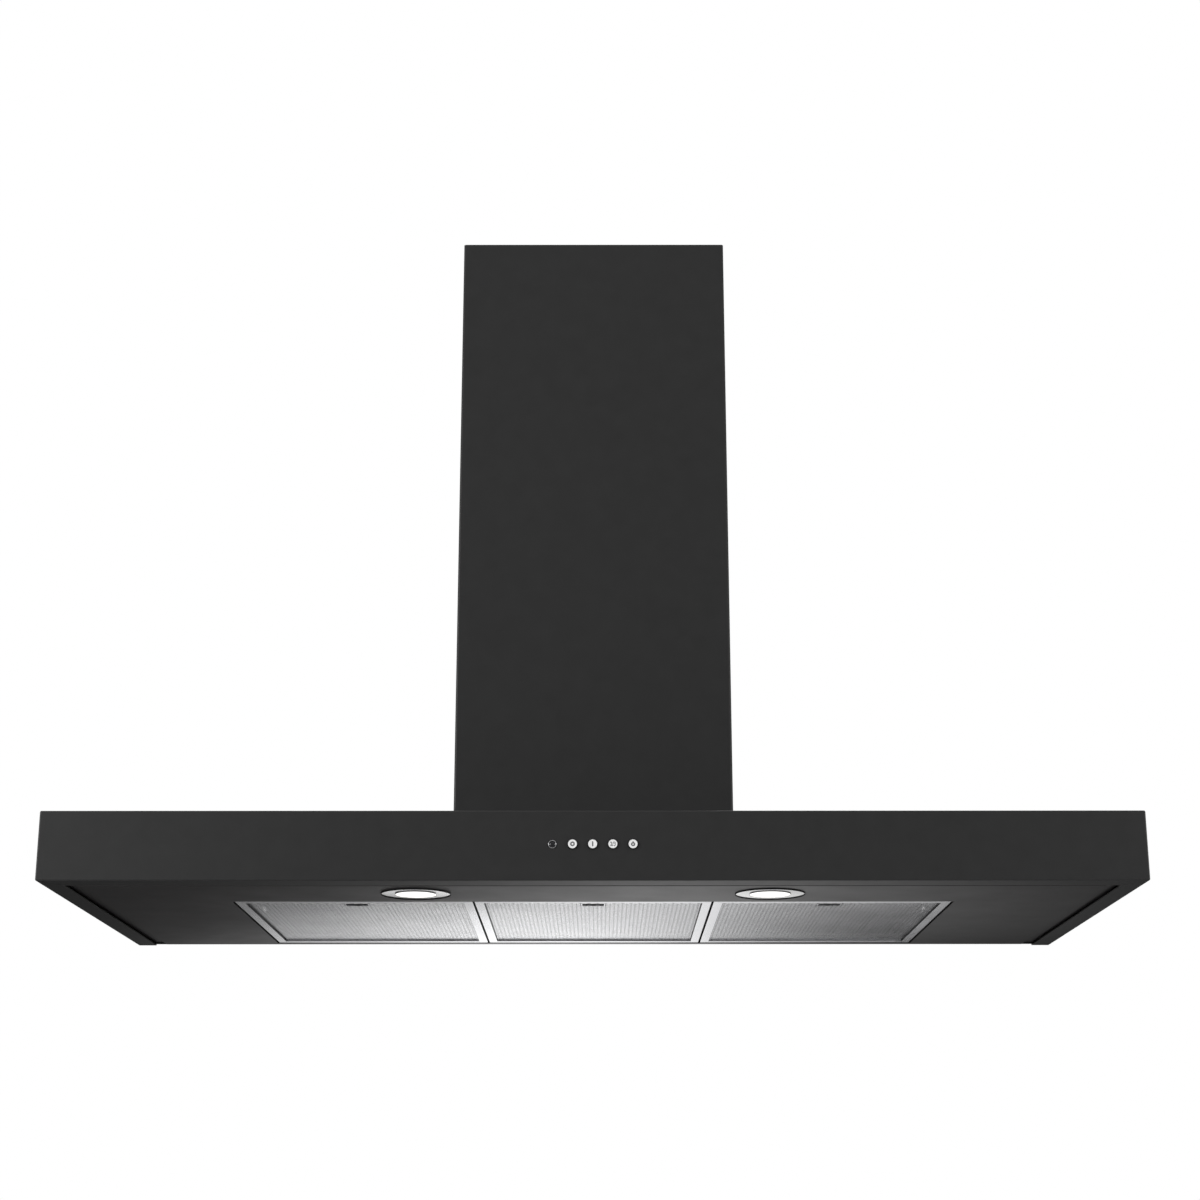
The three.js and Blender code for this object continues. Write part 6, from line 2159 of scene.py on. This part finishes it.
@dataclass
class Electrics(SubAssembly):
    """The terminal box with its lid and cable gland, and the lamps' driver."""

    wall: float = 1.5 * MM
    corner: float = 3.0 * MM
    corner_screw: float = 4.2 * MM
    gland_thread: float = 6.0 * MM
    gland_bore: float = 3.5 * MM
    flutes: int = 18

    def build(self) -> None:
        """Makes the electrical pieces."""
        self.make_box()
        self.make_lid()
        self.make_gland()
        self.make_driver()

    def corners(self, low: Vector, high: Vector) -> list[Point]:
        """The spots of a box's four screws, at height 0."""
        inset = self.corner_screw
        return [
            (x, y, 0) for x in (low.x + inset, high.x - inset)
            for y in (low.y + inset, high.y - inset)
        ]

    def make_box(self) -> None:
        """Makes the terminal box, with rounded corners, screw posts and the gland's hole."""
        low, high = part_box("terminal_box")
        wall = self.wall
        shape = Shape().block(*zip(low, high))
        shape.round(shape.along("Z"), self.corner, 5)
        inside = slot(
            (low.x + wall, high.x - wall), (low.y + wall, high.y - wall),
            (low.z + wall, high.z + 5 * MM), "Z", 1.6 * MM,
        )
        posts, bores = Shape(), Shape()
        for place in self.corners(low, high):
            posts.rod(2.9 * MM, (low.z + wall / 2, high.z - 0.5 * MM), UPRIGHT, place, 28)
            bores.rod(1.2 * MM, (high.z - 9 * MM, high.z + 2 * MM), UPRIGHT, place, 20)
        spot = middle_of("cable_gland")
        bore = hole(self.gland_thread + 0.3 * MM, (spot.x, high.y, spot.z), REARWARD)
        self.shop.deliver(
            shape, "mains_terminal_box", "terminal_box", WHITE, cuts=[inside], late_joins=[posts],
            late_cuts=[bores, bore],
        )

    def make_lid(self) -> None:
        """Makes the lid, with a raised field and countersunk screw holes."""
        low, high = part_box("terminal_lid")
        step, rim = 0.4 * MM, 7.5 * MM
        shape = Shape().block((low.x, high.x), (low.y, high.y), (low.z, high.z - step))
        shape.round(shape.along("Z"), self.corner, 5)
        raised = slot(
            (low.x + rim, high.x - rim), (low.y + rim, high.y - rim), (low.z + step, high.z), "Z",
            2 * MM,
        )
        sinks = Shape()
        for place in self.corners(low, high):
            span = (low.z - MM, high.z + MM)
            sinks.rod(0.6 * MM, span, UPRIGHT, place, 24, far_radius=3.1 * MM)
        self.shop.deliver(
            shape, "mains_terminal_lid", "terminal_lid", WHITE, joins=[raised], cuts=[sinks],
        )

    def make_gland(self) -> None:
        """Makes the cable gland: round body, fluted cap and thread."""
        low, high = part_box("cable_gland")
        spot = middle_of("cable_gland")
        radius, length = (high.x - low.x) / 2, high.y - low.y
        thread, bore, inner = self.gland_thread, self.gland_bore, 3.3 * MM
        profile = [(bore, 0.0), (thread - 0.4 * MM, 0.0)]
        for i in range(3):
            profile += [(thread, (0.5 + i) * MM), (thread - 0.4 * MM, (1.0 + i) * MM)]
        profile += [
            (thread, inner), *stepped(radius, inner, (-0.6, 0), (0, 0.5), (0, 4), (-0.9, 4.6)),
            *stepped(radius, length, (-0.9, -4.2), (-2.4, -1.2)),
            *stepped(bore, length, (1.2, 0), (0, -0.6)),
        ]
        place = (spot.x, low.y, spot.z)
        shape = Shape().turned(profile, REARWARD, place, 72, closed=True)
        run = (low.y + inner + 5.2 * MM, high.y + MM)
        edge = (spot.x, 0, spot.z + radius - 0.5 * MM)
        flutes = Shape().rod(0.8 * MM, run, REARWARD, edge, 16)
        flutes.copy_turned(self.flutes, "Y", place)
        self.shop.deliver(
            shape, "mains_cable_gland", "cable_gland", BLACK, cuts=[flutes], edge=0.1 * MM,
        )

    def make_driver(self) -> None:
        """Makes the lamps' driver: a moulded case with cooling grooves and cable entries."""
        low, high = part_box("lamp_driver")
        middle = middle_of("lamp_driver")
        shape = Shape().block(*zip(low, high))
        shape.round(shape.edges(), 1.5 * MM, 3)
        rise = (low.z - MM, high.z - 5 * MM)
        cuts = []
        for i in range(-4, 5):
            x = around(middle.x + i * 5.5 * MM, 1.8 * MM)
            cuts += [slot(x, around(y, 1.6 * MM), rise, "Y", 0.3 * MM) for y in (low.y, high.y)]
        for x in (low.x, high.x):
            for way in WAYS:
                spot = (x, middle.y + way * 9 * MM, middle.z)
                cuts.append(hole(2.6 * MM, spot, SIDEWAYS, 4 * MM))
        label = (around(middle.x, 44 * MM), around(middle.y, 26 * MM), around(low.z, MM))
        cuts.append(slot(*label, "Z", 2 * MM))
        self.shop.deliver(shape, "lamp_power_supply", "lamp_driver", WHITE, cuts=cuts)


def main() -> None:
    """Builds the stage, then each sub-assembly in the order of its making."""
    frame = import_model()
    bpy.context.scene.view_settings.view_transform = "Standard"
    Stage().build()
    shop = Workshop(frame)
    units: list[SubAssembly] = [Canopy(shop)]
    units += [GreaseFilter(shop, side) for side in SIDES]
    units += [Downlight(shop, side) for side in HANDS]
    units += [ControlPanel(shop), Chimney(shop), WallHanging(shop), Fan(shop), Outlet(shop)]
    units.append(Electrics(shop))
    for unit in units:
        unit.build()


if __name__ == "__main__":
    logging.basicConfig(level=logging.INFO, format="%(name)s: %(message)s")
    main()
